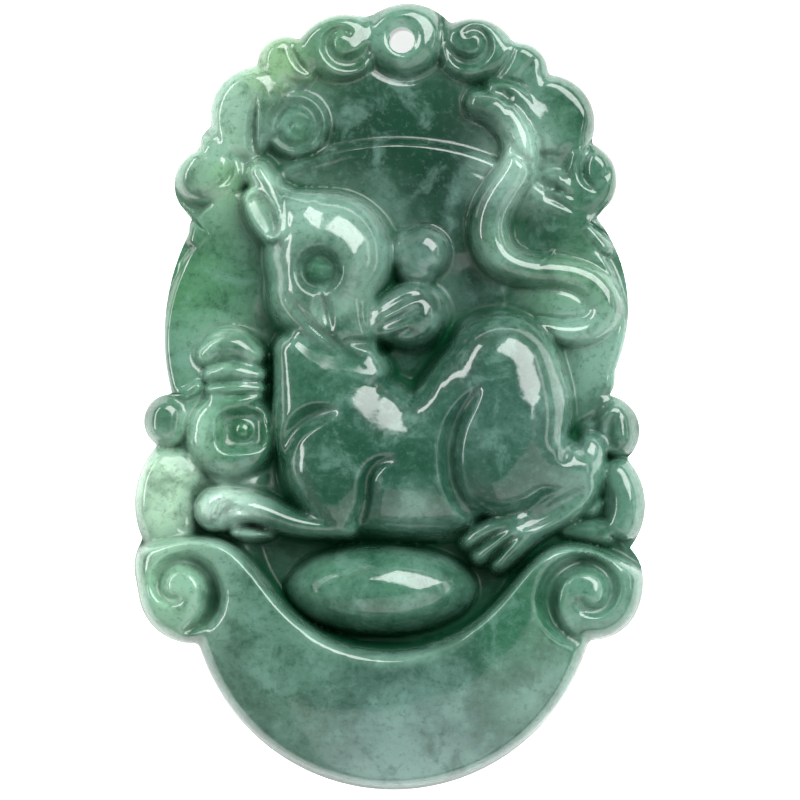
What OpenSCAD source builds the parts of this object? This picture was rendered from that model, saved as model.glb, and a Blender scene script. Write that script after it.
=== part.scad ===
// Carved jade pendant: one flat backed plaque with a rat in relief among clouds,
// standing on a boat shaped ingot, and one drilled cord hole at the top.
// The back lies on z = 0, the carving faces +Z and the cord hole is towards +Y.

/* [Plaque] */
// Width across the widest scrolls
pendant_w = 39; // [34:0.5:46]
// Height from the foot of the ingot to the top of the cord boss
pendant_h = 60; // [52:0.5:70]
// Thickness at the highest point of the carving
pendant_t = 10; // [8:0.25:13]
// Thickness of the ground between the clouds
ground_t = 4.5; // [3.5:0.1:5.5]
// Height of the side wall, where the front starts to roll over
wall_t = 4.6; // [3.6:0.1:5.6]
// Width over which the front rolls down to the side wall
front_roll = 1; // [0.7:0.1:1.6]
// Radius of the rounded edge of the back
back_round = 1.2; // [0.6:0.1:2]

/* [Cord hole] */
// Diameter of the drilled hole
hole_d = 2; // [1.4:0.1:2.8]
// Distance of the hole's centre below the top edge
hole_drop = 2.85; // [2.4:0.05:3.6]
// Distance of the hole's centre to the right of the middle
hole_shift = 0.95; // [0.5:0.05:1.4]
// Width of the rounded mouth around the hole
hole_lip = 0.55; // [0.3:0.05:0.9]
// Chamfer of the hole at the back
hole_chamfer = 0.3; // [0.1:0.05:0.5]

/* [Hidden] */

// Facets of the drilled hole, which is a true cylinder
hole_facets = 64;
// How far cutters reach past the faces that they cut
overcut = 1;
// Cells of the carved face from side to side and from foot to top
columns = 58;
rows = 90;
// The plain foot of the ingot has fewer rows, up to this share of the way down from the middle
foot_rows = 12;
foot_t = -0.62;
// The oval that the net follows inside, percent of width, and how far out it holds
oval_half_w = 48;
oval_half_h = 76;
oval_hold = 4;
// Weight of a point itself where heights are smoothed over its neighbours, who weigh 12
own_weight = 12;
// Passes that round the corners of a chain
passes = 1;

// The carving is drawn in percent: x and widths of the pendant's width, y of its height,
// heights of its thickness. drawn_tall turns a share of the height into one of the width.
drawn_tall = 60 / 39;
// Exponent of a form's crown, where 1 is a cone's and 0.5 a ball's
crispness = 0.55;
// How steeply a form is carried on below its foot, where it meets its neighbour
undercut = 3;
// How softly a form meets what lies under it, percent of thickness
merge = 4;
// Fillet in the notches of the outline, percent of width
notch = 1.2;
// Named sizes as shares
ground_z = 100 * ground_t / pendant_t;
wall_z = 100 * wall_t / pendant_t;
roll_w = 100 * front_roll / pendant_w;

// The disc behind the rat: middle, half width and half height, all percent of width
disc_x = 1.2;
disc_y = 5.9 * drawn_tall;
disc_half_w = 45;
disc_half_h = 40.4;
disc_rim_z = 53;
disc_floor_z = 44;
disc_groove = 1.4;

// The bowl of the ingot, a round hollow, and the dome of metal that fills it
bowl_x = 0;
bowl_y = -14.2 * drawn_tall;
bowl_r = 27.3;
bowl_floor_z = 33;
bowl_top_y = -12.5 * drawn_tall;
lip_z = 84;
rim_fall = 22;
ingot_crown = 8;
ingot_foot_z = 36;
dome_x = -1.9;
dome_y = -24.45 * drawn_tall;
dome_half_w = 19;
dome_half_h = 9.08;
dome_z = 79;
dome_fullness = 2.2;
bowl_wall = 3;
// How far the hollow reaches under the body of the ingot, percent of width
bowl_lap = 1.8;
ingot_round = 1.5;
// Tops of the two horns of the ingot: x, y, and how steeply the edge falls away beside them
horn_left = [-38, -17.6, 0.018];
horn_right = [34.7, -18.5, 0.026];
horn_fall = 5;
// How softly a horn's top runs into the edge of the bowl, percent of width
horn_round = 8;

// The square hole of the coin, and the little dome in it
coin_hole = [-29, -4.3];
coin_hole_half_w = 5;
coin_hole_half_h = 4.4;
coin_hole_lean = 3;
coin_hole_depth = 11;
bud = [-28.7, -4.2];
bud_r = 2.5;
bud_foot_z = 47;
bud_z = 58;
bud_merge = 2;

// The pupil stands in the socket of the eye
pupil_x = -13.6;
pupil_y = 15.9 * drawn_tall;
pupil_r = 3;
pupil_z = 90;
pupil_foot_z = 77;
pupil_fullness = 2;

// Scroll grooves
scroll_links = 14;
scroll_fullness = 2;
// A scroll starts narrow and shallow, and is full after this share of its way
scroll_start = 0.35;
scroll_full_by = 0.16;
// A form is felt at least this far past its edge
least_reach = 1;

// Lobes of the outline: x, y, radius
LOBES = [
    [3.4, 42.8, 11],
    [-8.9, 42, 10.2],
    [-20.6, 42.4, 5.3],
    [-25.5, 35.8, 9.6],
    [-33.2, 32, 3.9],
    [-34.9, 27, 7.3],
    [-36.1, 21.6, 3],
    [-0.1, 7.8, 44],
    [17.7, 11.2, 28.8],
    [-42.8, -3.1, 5.3],
    [-33.3, -13.5, 16.6],
    [-41, -21.5, 9],
    [-38.6, -24.4, 10.6],
    [0.6, -24.1, 39.6],
    [5, -25.6, 33.2],
    [41.2, -23.1, 8.2],
    [39.6, -24.7, 9.4],
    [36.7, -13.7, 13.1],
    [41.7, -4.3, 7],
    [40, 2, 3.8],
    [36.7, 27.5, 7.6],
    [30.6, 34.8, 9.4],
    [25, 41.2, 5.9],
    [16.3, 42.5, 8.6],
    [1, 33, 24],
];

// Columns of a chain of rounds, and of a chain once it is laid out: x, y, half width, height
X = 0;
Y = 1;
HALF = 2;
Z = 3;
// Columns of FORMS
FULLNESS = 0;
FOOT = 1;
SOFTNESS = 2;
MOAT = 3;
REACH = 4;
CHAINS = 5;
// Last column of a horn's top
ARCH = 2;
// Columns of HOLLOWS and CUTS
CUT_FULLNESS = 0;
CUT_CHAIN = 1;
// Columns of SCROLLS
SCROLL_X = 0;
SCROLL_Y = 1;
SCROLL_R = 2;
SCROLL_TURN = 3;
SCROLL_HALF = 4;
SCROLL_DEPTH = 5;

// Net of the carved face and its border, in the drawing's percent
BORDER = concat(
    [for (i = [0 : columns - 1]) net_index(i, 0)],
    [for (j = [0 : rows - 1]) net_index(columns, j)],
    [for (i = [0 : columns - 1]) net_index(columns - i, rows)],
    [for (j = [0 : rows - 1]) net_index(0, rows - j)]);
NET = [for (j = [0 : rows], i = [0 : columns]) net_point(i, j)];
EDGE = [for (n = BORDER) NET[n]];
low_u = min(column(EDGE, X));
high_u = max(column(EDGE, X));
low_v = min(column(EDGE, Y));
high_v = max(column(EDGE, Y));

// The cord hole in the drawing's percent, with the boss and the rounded mouth around it
hole_at = from_mm([hole_shift, pendant_h / 2 - hole_drop]);
hole_u = hole_at[0];
hole_v = hole_at[1] / drawn_tall;
boss_aside = 0.45;
boss_above = 0.3;
boss_half = 7.6;
boss_z = 61;
mouth_aside = 0.25;
mouth_above = 0.2;
mouth_half = (hole_d / 2 + hole_lip) * 100 / pendant_w;
mouth_depth = 5;

// Raised forms from back to front: fullness, foot, softness between its own chains, depth and
// reach of the moat around it, and its chains of rounds, each round x, y, half width, height
FORMS = [
    // Big left cloud
    [2.4, 46, 6, 1, 1.4, [
        [[-24, 39.6, 4.8, 57], [-27.4, 38, 7.6, 63], [-28.8, 35.5, 7.6, 64],
         [-29.6, 32.5, 5.4, 61], [-29.2, 30, 3.2, 56]],
        [[-19, 40.8, 3.2, 52], [-24, 39.8, 5, 58]]]],
    // Third cloud
    [2.4, 46, 4, 1, 1.2, [
        [[-21.2, 43.5, 4.8, 61], [-19.4, 42.5, 4.2, 60], [-17, 41.3, 2.6, 55]],
        [[-17.4, 44.4, 1.8, 57], [-16.6, 43, 1.6, 57], [-15.2, 41.8, 1.2, 54]]]],
    // Cloud left of the boss
    [2.6, 46, 4, 1, 1.2, [
        [[-9.5, 45.2, 7.9, 62]],
        [[-13.5, 45, 4.4, 59], [-15.8, 44.5, 3.8, 57]]]],
    // Low left cloud
    [2.4, 46, 5, 1, 1.2, [
        [[-35.8, 28.9, 6.9, 62], [-34, 28, 5.7, 60], [-32.4, 27.4, 4.2, 56]],
        [[-34.2, 30.6, 4, 58], [-32.8, 31.8, 2.8, 54]],
        [[-30.6, 29.8, 1.6, 56], [-30.2, 28, 1.6, 56], [-31.4, 26.6, 1.6, 55]]]],
    // Big scroll
    [5, 46, 3, 1.5, 1.4, [
        [[-18.4, 34.5, 6.5, 56]]]],
    // Lobe right of the boss
    [4, 46, 4, 1, 1.2, [
        [[25.5, 42.8, 5.6, 61], [23.5, 41.5, 4, 57], [21.5, 40.2, 2.6, 53]],
        [[28.5, 42, 3.6, 57], [26, 40.3, 2.6, 54]]]],
    // Cloud right of the boss
    [2.6, 46, 4, 1, 1.2, [
        [[16.4, 44.8, 7.6, 62]],
        [[20, 44, 4, 58], [21, 42, 2.6, 54]]]],
    // Lower right cloud
    [2.4, 46, 5, 1, 1.2, [
        [[39.8, 28.4, 6.4, 61], [39.2, 25.8, 5.2, 58], [37, 24.4, 3.4, 54]]]],
    // Upper right cloud
    [5, 46, 5, 1, 1.4, [
        [[29.6, 38.3, 5, 59], [32.4, 36.2, 7.6, 63], [33.4, 34.6, 6.8, 62]]]],
    // Edge below the upper right cloud
    [2.4, 46, 5, 1, 1.2, [
        [[31.6, 31.6, 1.4, 57], [33.6, 32.4, 2.2, 60], [36, 33.2, 2.8, 61]]]],
    // Ridge beside the right scroll
    [2.2, 46, 4, 0.5, 1, [
        [[35, 28.6, 1, 56], [36, 30.4, 1.3, 60], [37.8, 32.4, 1.7, 60]]]],
    // Cloud strand beside the tail
    [2.6, 48, 4, 1, 1, [
        [[20.4, 38.9, 2.1, 62], [23.6, 38.5, 2.6, 65], [26.6, 36.8, 2.8, 65],
         [28.8, 34.4, 2.6, 63], [30.4, 32, 2.1, 60]]]],
    // Bed of the small swirl
    [2, 44, 4, 0, 1, [
        [[29.6, 29, 3.2, 51], [33.4, 27.2, 4.4, 52]],
        [[31.4, 30.4, 3.2, 53], [36, 30.8, 3.4, 54]]]],
    // Small swirl
    [2.2, 48, 3, 0.5, 0.9, [
        [[31, 27.9, 1.3, 56], [33.4, 27.6, 1.8, 59], [34.9, 26.4, 1.5, 58], [34.2, 25.4, 1, 54]]]],
    // Strands on the rim
    [2.2, 48, 3, 0.5, 0.8, [
        [[31, 26, 0.9, 54], [34.5, 25, 1.3, 56], [38, 23.6, 1.4, 57], [41, 22.2, 1.4, 56]],
        [[30, 24.6, 1, 54], [34, 23.4, 1.4, 56], [38, 21.6, 1.6, 57], [42, 18.8, 1.4, 55]]]],
    // Ground left of the ear
    [2, 46, 4, 0, 1, [
        [[-28.6, 28.4, 2.8, 54], [-31, 27.2, 2.8, 54]]]],
    // Rim below the low left cloud
    [5, 46, 4, 0, 1, [
        [[-37.6, 20.4, 2.4, 54], [-35.2, 22.4, 2.7, 54], [-31.8, 23.9, 2.6, 54],
         [-28, 24.9, 2.2, 54]]]],
    // Web beside the ribbons
    [2.4, 46, 4, 0.5, 1, [
        [[-43, 0.8, 1.4, 55], [-40, 0.1, 1.6, 56], [-37.5, 1.3, 1.4, 57]]]],
    // Left ball
    [2.4, 46, 3, 1, 1, [
        [[-43.9, -2.3, 4, 60], [-44.1, -4, 4, 60]]]],
    // Left cloud
    [2, 46, 8, 0.5, 1.2, [
        [[-45, -10.5, 5.4, 62], [-44.6, -14, 6.2, 62], [-43, -17.4, 5.2, 57]],
        [[-44.2, -8.8, 4.2, 59], [-40.4, -9.4, 4, 55]]]],
    // Right ball
    [2.4, 46, 3, 1, 1, [
        [[43.8, -3, 4.2, 60], [44.4, -5, 3.9, 60]]]],
    // Right cloud
    [2.6, 46, 5, 1, 1.2, [
        [[44.6, -10.2, 3.8, 60], [46, -13.2, 4.2, 62], [45.4, -16, 3.6, 60]],
        [[34.4, -16.9, 1.6, 52], [38, -17, 2.1, 55], [42, -17.2, 2.6, 57]]]],
    // Small ball in the right cloud
    [2.2, 46, 3, 1, 1, [
        [[38.8, -13.6, 2.6, 56]]]],
    // Boss
    [2.8, 44, 4, 3, 2, [
        [[2.9, 45.6, 7.6, 61]]]],
    // Swell inside the loop of the tail
    [2, 46, 6, 0, 1, [
        [[26.5, 12.8, 3.4, 47], [31, 12.4, 5.2, 55], [38, 11.8, 5, 57]]]],
    // Tail
    [2.4, 47, 3, 1, 1.2, [
        [[17.2, 37.2, 2.8, 67], [19.8, 36.9, 3.2, 70], [22.6, 35.8, 3.5, 71],
         [24.9, 33.8, 3.6, 72], [25.9, 31.2, 3.7, 73], [24.7, 28.3, 3.9, 73],
         [21.6, 25.6, 4.1, 73], [19.6, 23, 4.2, 73], [19.4, 20, 4.2, 72], [21.6, 17.3, 3.9, 71],
         [27, 15.9, 3.4, 68], [33.4, 15.9, 3.2, 65], [38.8, 14.8, 3.5, 63], [41.8, 12.4, 3.6, 62],
         [42, 10.2, 3.3, 61], [39, 8.3, 3, 61], [34.5, 8, 2.6, 63], [29.5, 8.8, 1.9, 64]]]],
    // Nose
    [2.6, 46, 3, 1, 1.2, [
        [[6.7, 18.4, 5, 65]],
        [[3, 18.4, 4, 63]],
        [[5, 16.2, 4, 62]]]],
    // Neck
    [4, 60, 4, 0, 1, [
        [[-15.5, 6.4, 5.2, 79.4], [-9.5, 5.6, 5.2, 79.4]]]],
    // Body
    [2.6, 52, 12, 1, 1.4, [
        [[-18.2, 5.6, 4.6, 78], [-16, 1, 6.8, 83], [-13.5, -4, 9.6, 86], [-8, -8.5, 12.6, 88]],
        [[-8, -8.5, 12.6, 88], [2, -9.4, 12.6, 91], [10, -9.2, 12.6, 90]],
        [[6, -7, 10, 90], [12, -3.4, 9.4, 90], [18.5, 2, 9.8, 90]],
        [[-12, 1.6, 7.6, 83], [-4.8, 3.2, 5.2, 82]],
        [[-9, -2.6, 9, 85], [-2.4, -3, 8.4, 85]]]],
    // Muzzle
    [3, 48, 5, 1, 1.4, [
        [[4.3, 10.4, 6.6, 72], [0.8, 10, 5.2, 74], [-2.8, 9.4, 3.8, 77], [-7, 8.4, 2.4, 80]]]],
    // Hind leg
    [2.4, 50, 4, 1, 1.2, [
        [[39, -6.6, 3.3, 70], [37.8, -8.6, 4.4, 76], [36.4, -11, 5.2, 78], [33.6, -13, 5, 78],
         [30.4, -14.6, 4.4, 77], [27.2, -16.2, 3.8, 75]],
        [[27.2, -16.4, 3.8, 75], [25, -18.2, 3, 74], [22.8, -20, 2.4, 71], [21.4, -21, 2, 67]],
        [[26.4, -16, 3.6, 75], [22.4, -17.6, 2.9, 74], [19.4, -19, 2.4, 71], [17.8, -20, 2, 67]],
        [[25, -15.6, 3.2, 75], [20.6, -16.4, 2.7, 73], [17.2, -17.4, 2.3, 70],
         [15.6, -18.2, 1.9, 66]]]],
    // Haunch
    [2.4, 56, 8, 1, 1.4, [
        [[22.2, 3.2, 11.4, 97], [23.4, -1.6, 12.5, 100], [22.9, -5, 12.2, 100],
         [22.3, -8, 11.4, 98]],
        [[25, -7, 9.5, 95], [31, -8.6, 7, 88], [36.4, -9.2, 4.6, 80]]]],
    // Foreleg
    [2.6, 60, 6, 0, 1, [
        [[-11.6, -8.8, 9, 90], [-10.6, -12.4, 7.2, 89], [-9.2, -14.6, 4.8, 85]]]],
    // Thumb
    [2.4, 52, 4, 0.5, 1, [
        [[-30.2, -17, 1.2, 66], [-27.2, -17.3, 1.7, 69], [-23.8, -17, 1.4, 68]]]],
    // Forearm
    [2.4, 52, 5, 1, 1.2, [
        [[-8, -16.4, 2.2, 80], [-14, -16.4, 2.3, 80], [-19, -15.8, 2.7, 81],
         [-23.6, -14.6, 3.1, 81], [-27.6, -13.9, 3.6, 82], [-31.4, -14.1, 4.4, 83],
         [-33.8, -14.3, 4.3, 80]]]],
    // Head
    [2.6, 54, 10, 1.5, 1.4, [
        [[-11.9, 18, 12.4, 93]],
        [[-13, 13.5, 10.6, 91], [-10.5, 9.8, 7.8, 88], [-6.8, 7.2, 4.6, 83], [-4.2, 5.2, 2.6, 78]],
        [[-21.4, 24.4, 4, 80], [-18, 22.4, 7.6, 88]]]],
    // Ear root
    [2.2, 60, 3, 0, 1, [
        [[-25.4, 28.4, 2.6, 78], [-23.4, 26.3, 2.9, 83], [-21.6, 23.6, 2.5, 88],
         [-20.9, 20.8, 1.7, 89]]]],
    // Ear
    [2.8, 52, 3, 1, 1, [
        [[-25.8, 25, 3, 83], [-24, 23, 3.9, 87], [-22.3, 20.9, 3, 88]]]],
    // Coin
    [5, 46, 4, 1, 1.2, [
        [[-31, -4.8, 9, 64]]]],
    // Low ribbon
    [2.4, 48, 3, 0.5, 1, [
        [[-34.4, -0.2, 1.5, 61], [-31.2, -0.8, 1.8, 65], [-28, -0.5, 1.7, 65],
         [-25.6, 0.1, 1.3, 62]],
        [[-34.6, 0.9, 1.6, 62], [-31.4, 1.1, 1.8, 67], [-28.4, 1.3, 1.8, 68], [-25.4, 1.1, 1.4, 64]]]],
    // Middle ribbon
    [2.4, 48, 4, 0.5, 1, [
        [[-34.6, 2.9, 2, 64], [-31.6, 3.4, 2.5, 69], [-28.4, 3.2, 2.6, 70], [-25.8, 2.8, 2, 66]]]],
    // Top ribbon
    [2.4, 48, 5, 1, 1.2, [
        [[-35.6, 5.4, 2.5, 64], [-33, 6.8, 3.3, 69], [-29.8, 6.6, 3.6, 71], [-26.8, 5.2, 2.6, 67]]]],
];

// Hollows of the ground, carved before the forms are raised, and grooves, carved after them:
// fullness and a chain of rounds, each x, y, half width, depth
HOLLOWS = [
    // Deep hollow before the haunch
    [2,
        [[14, 13, 9, 6], [14, 8, 9, 10], [6, 2, 8, 10]]],
    // Hollow left of the chest
    [2,
        [[-23.6, 12, 4, 4], [-22.8, 4, 4, 6], [-22.4, -6, 4, 6], [-22.6, -12, 4.4, 6],
         [-23, -17, 4.4, 4]]],
    // Dimple inside the loop of the tail
    [2,
        [[25.4, 22, 5.4, 6], [28.6, 20.2, 4.4, 3]]],
];
CUTS = [
    // Mouth of the cord hole
    [4,
        [[hole_u + mouth_aside, hole_v + mouth_above, mouth_half, mouth_depth]]],
    // Groove beside the big left cloud
    [2,
        [[-26, 38.4, 0.7, 2], [-26.6, 36.2, 1.1, 6], [-27, 33.8, 1.3, 8], [-26.8, 31.8, 1.3, 7],
         [-26, 30.6, 1, 3]]],
    // Fold of the third cloud
    [2,
        [[-19.3, 45.2, 0.8, 1], [-18.6, 43.3, 1, 5], [-17.2, 41.9, 1, 5], [-15.2, 40.9, 0.7, 1]]],
    // Hook of the low left cloud
    [2,
        [[-31.6, 30.6, 0.8, 1], [-30.8, 29.6, 1, 4], [-30.8, 28.4, 1, 5], [-31.8, 27.4, 0.9, 3],
         [-33.2, 26.8, 0.7, 1]]],
    // Fold of the lobe right of the boss
    [2,
        [[24.4, 44.4, 0.7, 1], [23.4, 43, 0.9, 5], [21.8, 41.4, 0.9, 5], [19.8, 40.2, 0.7, 1]]],
    // Line in the lobe right of the boss
    [2,
        [[29.6, 43.4, 0.7, 1], [27.6, 42.1, 0.8, 3], [25.6, 40.9, 0.8, 3], [24.8, 39.8, 0.6, 1]]],
    // Curl of the right scroll
    [2,
        [[40.4, 31.8, 0.8, 1], [38.4, 30.8, 1.1, 5], [37.4, 28.9, 1.2, 7], [38, 27.3, 1.2, 6],
         [40, 26.4, 0.9, 2]]],
    // Line in the right scroll
    [2,
        [[42.6, 30.2, 0.8, 1], [42.9, 28.6, 0.9, 3], [41.6, 27.4, 0.8, 1]]],
    // Hollow of the left cloud
    [2,
        [[-40.6, -11.8, 1.8, 3], [-40.4, -13.8, 2.2, 5], [-40.2, -16, 1.8, 3]]],
    // Line over the left cloud
    [2,
        [[-46.4, -6.2, 0.9, 2], [-43.8, -6.7, 1.1, 5], [-41.4, -6.4, 1, 3]]],
    // Hollow of the right cloud
    [2,
        [[40.6, -10.2, 1.2, 2], [42.4, -12, 1.6, 4], [42.6, -14.4, 1.5, 4], [40.8, -16, 1.2, 3],
         [36.6, -15.9, 0.9, 2]]],
    // Bean on the right ball
    [2,
        [[44.6, -1.6, 0.8, 1], [42.6, -3.4, 1.1, 4], [42.8, -5.6, 1.1, 4], [44.6, -6.8, 0.8, 1]]],
    // Line over the right cloud
    [2,
        [[41.6, -7.9, 1, 2], [44.4, -7.9, 1.1, 3], [47.4, -7.7, 0.9, 1]]],
    // Valley beside the knee
    [2,
        [[34.2, -7.6, 1.6, 4], [35.2, -5.4, 1.6, 6], [37, -3.6, 1.3, 4], [40, -2.5, 1, 3],
         [43, -0.9, 0.7, 1]]],
    // Socket of the eye
    [3,
        [[-13.5, 16, 5.2, 13]]],
    // Groove under the eye
    [2,
        [[-13, 12.4, 1.6, 4], [-12.4, 11, 2.2, 8], [-11.8, 9.4, 1.7, 5], [-11.2, 8.2, 1, 1]]],
    // Line of the cheek
    [2,
        [[-19.8, 12.6, 1, 1], [-16.8, 10.4, 1.2, 4], [-13.2, 8.2, 1.3, 5], [-9.6, 6.4, 1.2, 4],
         [-7.2, 5.4, 1, 1]]],
    // Hollow of the ear
    [3,
        [[-25.7, 24.8, 1.9, 9], [-24.1, 23.1, 2.8, 12], [-22.7, 21.2, 1.9, 9]]],
    // Groove over the shoulder
    [2,
        [[-20, -7, 1.4, 3], [-19, -4.6, 2.4, 9], [-16.4, -2.9, 2.8, 12], [-13.2, -2, 2.4, 10],
         [-10.4, -1.8, 1.2, 2]]],
    // Groove behind the foreleg
    [2,
        [[0.9, -7.7, 1.2, 2], [-2.2, -8.3, 1.6, 7], [-4.2, -9.9, 1.8, 10], [-4.4, -12.3, 1.8, 11],
         [-5, -14.8, 1.7, 9], [-7.4, -16.6, 1.4, 4]]],
    // Line behind the foreleg
    [2,
        [[-1.6, -9.6, 0.8, 1], [-2.4, -11.4, 0.9, 3], [-2.6, -13.6, 0.9, 3], [-3.6, -15.8, 0.8, 1]]],
    // Groove before the haunch
    [2,
        [[17.2, 0.9, 1.2, 2], [15.4, -0.6, 2, 8], [12.6, -3.6, 2.4, 12], [11.6, -7.2, 2.5, 13],
         [12.2, -10.8, 2.4, 13], [14.2, -13.8, 2.1, 10], [17.2, -15.6, 1.6, 5]]],
    // Upper line on the muzzle
    [2,
        [[-3.6, 9.6, 1.1, 2], [-0.6, 11, 1.2, 4], [3.6, 12.6, 1.1, 3], [6.4, 12.9, 0.9, 1]]],
    // Middle line on the muzzle
    [2,
        [[-2.4, 8.7, 1.2, 3], [1.6, 9.7, 1.4, 6], [5.4, 11.1, 1.1, 3]]],
    // Lower line on the muzzle
    [2,
        [[0.6, 7.6, 1, 2], [3.8, 8.4, 1, 3]]],
    // Mouth
    [2,
        [[-8, 6.9, 1.3, 3], [-5, 6.9, 1.4, 7], [-1, 6.2, 1.3, 5]]],
    // Hollow on the hind leg
    [2,
        [[26, -16.2, 1.6, 3], [29, -15.4, 2.2, 7], [32, -14.3, 2.5, 9], [35, -13.2, 2.1, 7],
         [37, -12.2, 1.5, 3]]],
    // Gap between the first toes
    [2,
        [[24.8, -17.6, 0.9, 2], [22.4, -18.8, 1.1, 6], [20.6, -20, 1.1, 7], [19.4, -21, 0.9, 4]]],
    // Gap between the last toes
    [2,
        [[22.6, -16.8, 0.9, 2], [20.2, -17.7, 1.1, 6], [18, -18.6, 1.1, 7], [16.4, -19.4, 0.9, 4]]],
    // First finger line of the paw
    [2,
        [[-33.2, -17.2, 0.9, 2], [-35, -15.4, 1.2, 6], [-33.6, -13.2, 1.3, 6],
         [-30.4, -12.4, 1.2, 4], [-27.4, -13, 0.9, 1]]],
    // Second finger line of the paw
    [2,
        [[-31.2, -17.2, 0.9, 2], [-32.6, -15.6, 1.2, 6], [-31.6, -14.2, 1.2, 6],
         [-29.6, -13.9, 1.1, 4], [-27.2, -14.6, 0.8, 1]]],
    // Notch over the thumb
    [2,
        [[-31.4, -16.6, 0.9, 3], [-29.6, -15.9, 1.2, 8], [-27.2, -15.9, 1.2, 10],
         [-24.8, -16.6, 1.1, 8], [-22.2, -17.4, 0.8, 3]]],
    // Fold of the top ribbon
    [2,
        [[-36.8, 6.6, 0.7, 1], [-34.8, 7.6, 0.8, 3], [-31.8, 7.9, 0.8, 2], [-29.6, 7.5, 0.6, 1]]],
];

// Scrolls on the clouds and on the ends of the ingot: middle x and y, outer and inner radius,
// first and last angle of the winding, first and last half width, first and last depth
CLOUD_SCROLLS = [
    // Ring of the big scroll
    [-18.4, 34.5, [4.2, 4], [215, -145], [1.6, 1.6], [5, 5]],
    // Big scroll
    [-18.2, 34.3, [2.3, 0.7], [60, -330], [0.8, 0.5], [4, 2]],
    // Scroll left of the boss
    [-9, 45, [4.8, 2], [-10, -300], [2.3, 0.9], [10, 3]],
    // Scroll right of the boss
    [16, 45, [4.6, 2], [190, 480], [2.1, 0.9], [10, 3]],
];
VOLUTES = [
    // Left end of the ingot
    [-41.3, -24.3, [8.4, 1.9], [-76, 270], [2.9, 1.3], [21, 5]],
    // Right end of the ingot
    [38.6, -25, [9.2, 2], [256, -140], [3, 1.3], [21, 5]],
];

LAID_FORMS = [for (form = FORMS)
    [for (c = [0 : REACH]) form[c], [for (chain = form[CHAINS]) laid(chain)]]];
FORM_BOXES = [for (form = LAID_FORMS) box_around(form[CHAINS], max(form[REACH], least_reach))];
LAID_HOLLOWS = [for (cut = HOLLOWS) [cut[CUT_FULLNESS], laid(cut[CUT_CHAIN])]];
HOLLOW_BOXES = [for (cut = LAID_HOLLOWS) box_around([cut[CUT_CHAIN]], 0)];
LAID_CUTS = concat(
    [for (cut = CUTS) [cut[CUT_FULLNESS], laid(cut[CUT_CHAIN])]],
    [for (s = CLOUD_SCROLLS) [scroll_fullness, scroll_chain(s)]]);
CUT_BOXES = [for (cut = LAID_CUTS) box_around([cut[CUT_CHAIN]], 0)];
LAID_VOLUTES = [for (s = VOLUTES) [scroll_fullness, scroll_chain(s)]];
VOLUTE_BOXES = [for (cut = LAID_VOLUTES) box_around([cut[CUT_CHAIN]], 0)];

// Small helpers

function mix(a, b, share) = a + (b - a) * share;
function within(low, value, high) = min(max(value, low), high);
function eased(from, to, value) =
    let (t = within(0, (value - from) / (to - from), 1))
    t * t * (3 - 2 * t);
function smooth_max(a, b, k) =
    let (g = max(k - abs(a - b), 0) / k)
    max(a, b) + g * g * k / 4;
function smooth_min(a, b, k) = -smooth_max(-a, -b, k);
function all_smooth_max(values, k, i = 0, best = -999) =
    i == len(values) ? best : all_smooth_max(values, k, i + 1, smooth_max(best, values[i], k));
function column(rows, c) = [for (row = rows) row[c]];

// Outline: the lobes' farthest reach in each direction from the middle

function lobe_middle(lobe) = [lobe[X], lobe[Y] * drawn_tall];
function lobe_reach(lobe, angle) =
    let (way = [cos(angle), sin(angle)],
         middle = lobe_middle(lobe),
         along = middle * way,
         aside = middle[0] * way[1] - middle[1] * way[0],
         rest = lobe[HALF] * lobe[HALF] - aside * aside)
    rest > 0 ? along + sqrt(rest) : 0;
function outline_reach(angle) =
    all_smooth_max([for (lobe = LOBES) lobe_reach(lobe, angle)], notch);
function depth_inside(p) =
    all_smooth_max([for (lobe = LOBES) lobe[HALF] - norm(p - lobe_middle(lobe))], notch);

// Chains: corners are cut so that a chain runs in a smooth line

function corner_cut(chain, times) =
    times == 0 || len(chain) < 3 ? chain :
    corner_cut([
        chain[0],
        for (i = [0 : len(chain) - 2], share = [0.25, 0.75]) mix(chain[i], chain[i + 1], share),
        chain[len(chain) - 1]
    ], times - 1);
function laid(chain) =
    corner_cut([for (row = chain) [row[X], row[Y] * drawn_tall, row[HALF], row[Z]]], passes);
// Nearest point of one link: distance, half width and height there
function link_near(p, a, b) =
    let (way = [b[X] - a[X], b[Y] - a[Y]],
         off = [p[X] - a[X], p[Y] - a[Y]],
         length_2 = way * way,
         t = length_2 == 0 ? 0 : within(0, off * way / length_2, 1))
    [norm(off - way * t), mix(a[HALF], b[HALF], t), mix(a[Z], b[Z], t)];
function chain_near(p, chain) =
    len(chain) == 1 ? [link_near(p, chain[0], chain[0])] :
    [for (i = [0 : len(chain) - 2]) link_near(p, chain[i], chain[i + 1])];
// Box around laid chains, grown by a margin: low x, high x, low y, high y
function box_around(chains, margin) =
    let (all_rows = [for (chain = chains) each chain])
    [min([for (row = all_rows) row[X] - row[HALF]]) - margin,
     max([for (row = all_rows) row[X] + row[HALF]]) + margin,
     min([for (row = all_rows) row[Y] - row[HALF]]) - margin,
     max([for (row = all_rows) row[Y] + row[HALF]]) + margin];
function in_box(p, box) = p[X] > box[0] && p[X] < box[1] && p[Y] > box[2] && p[Y] < box[3];

// Raised forms

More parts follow.
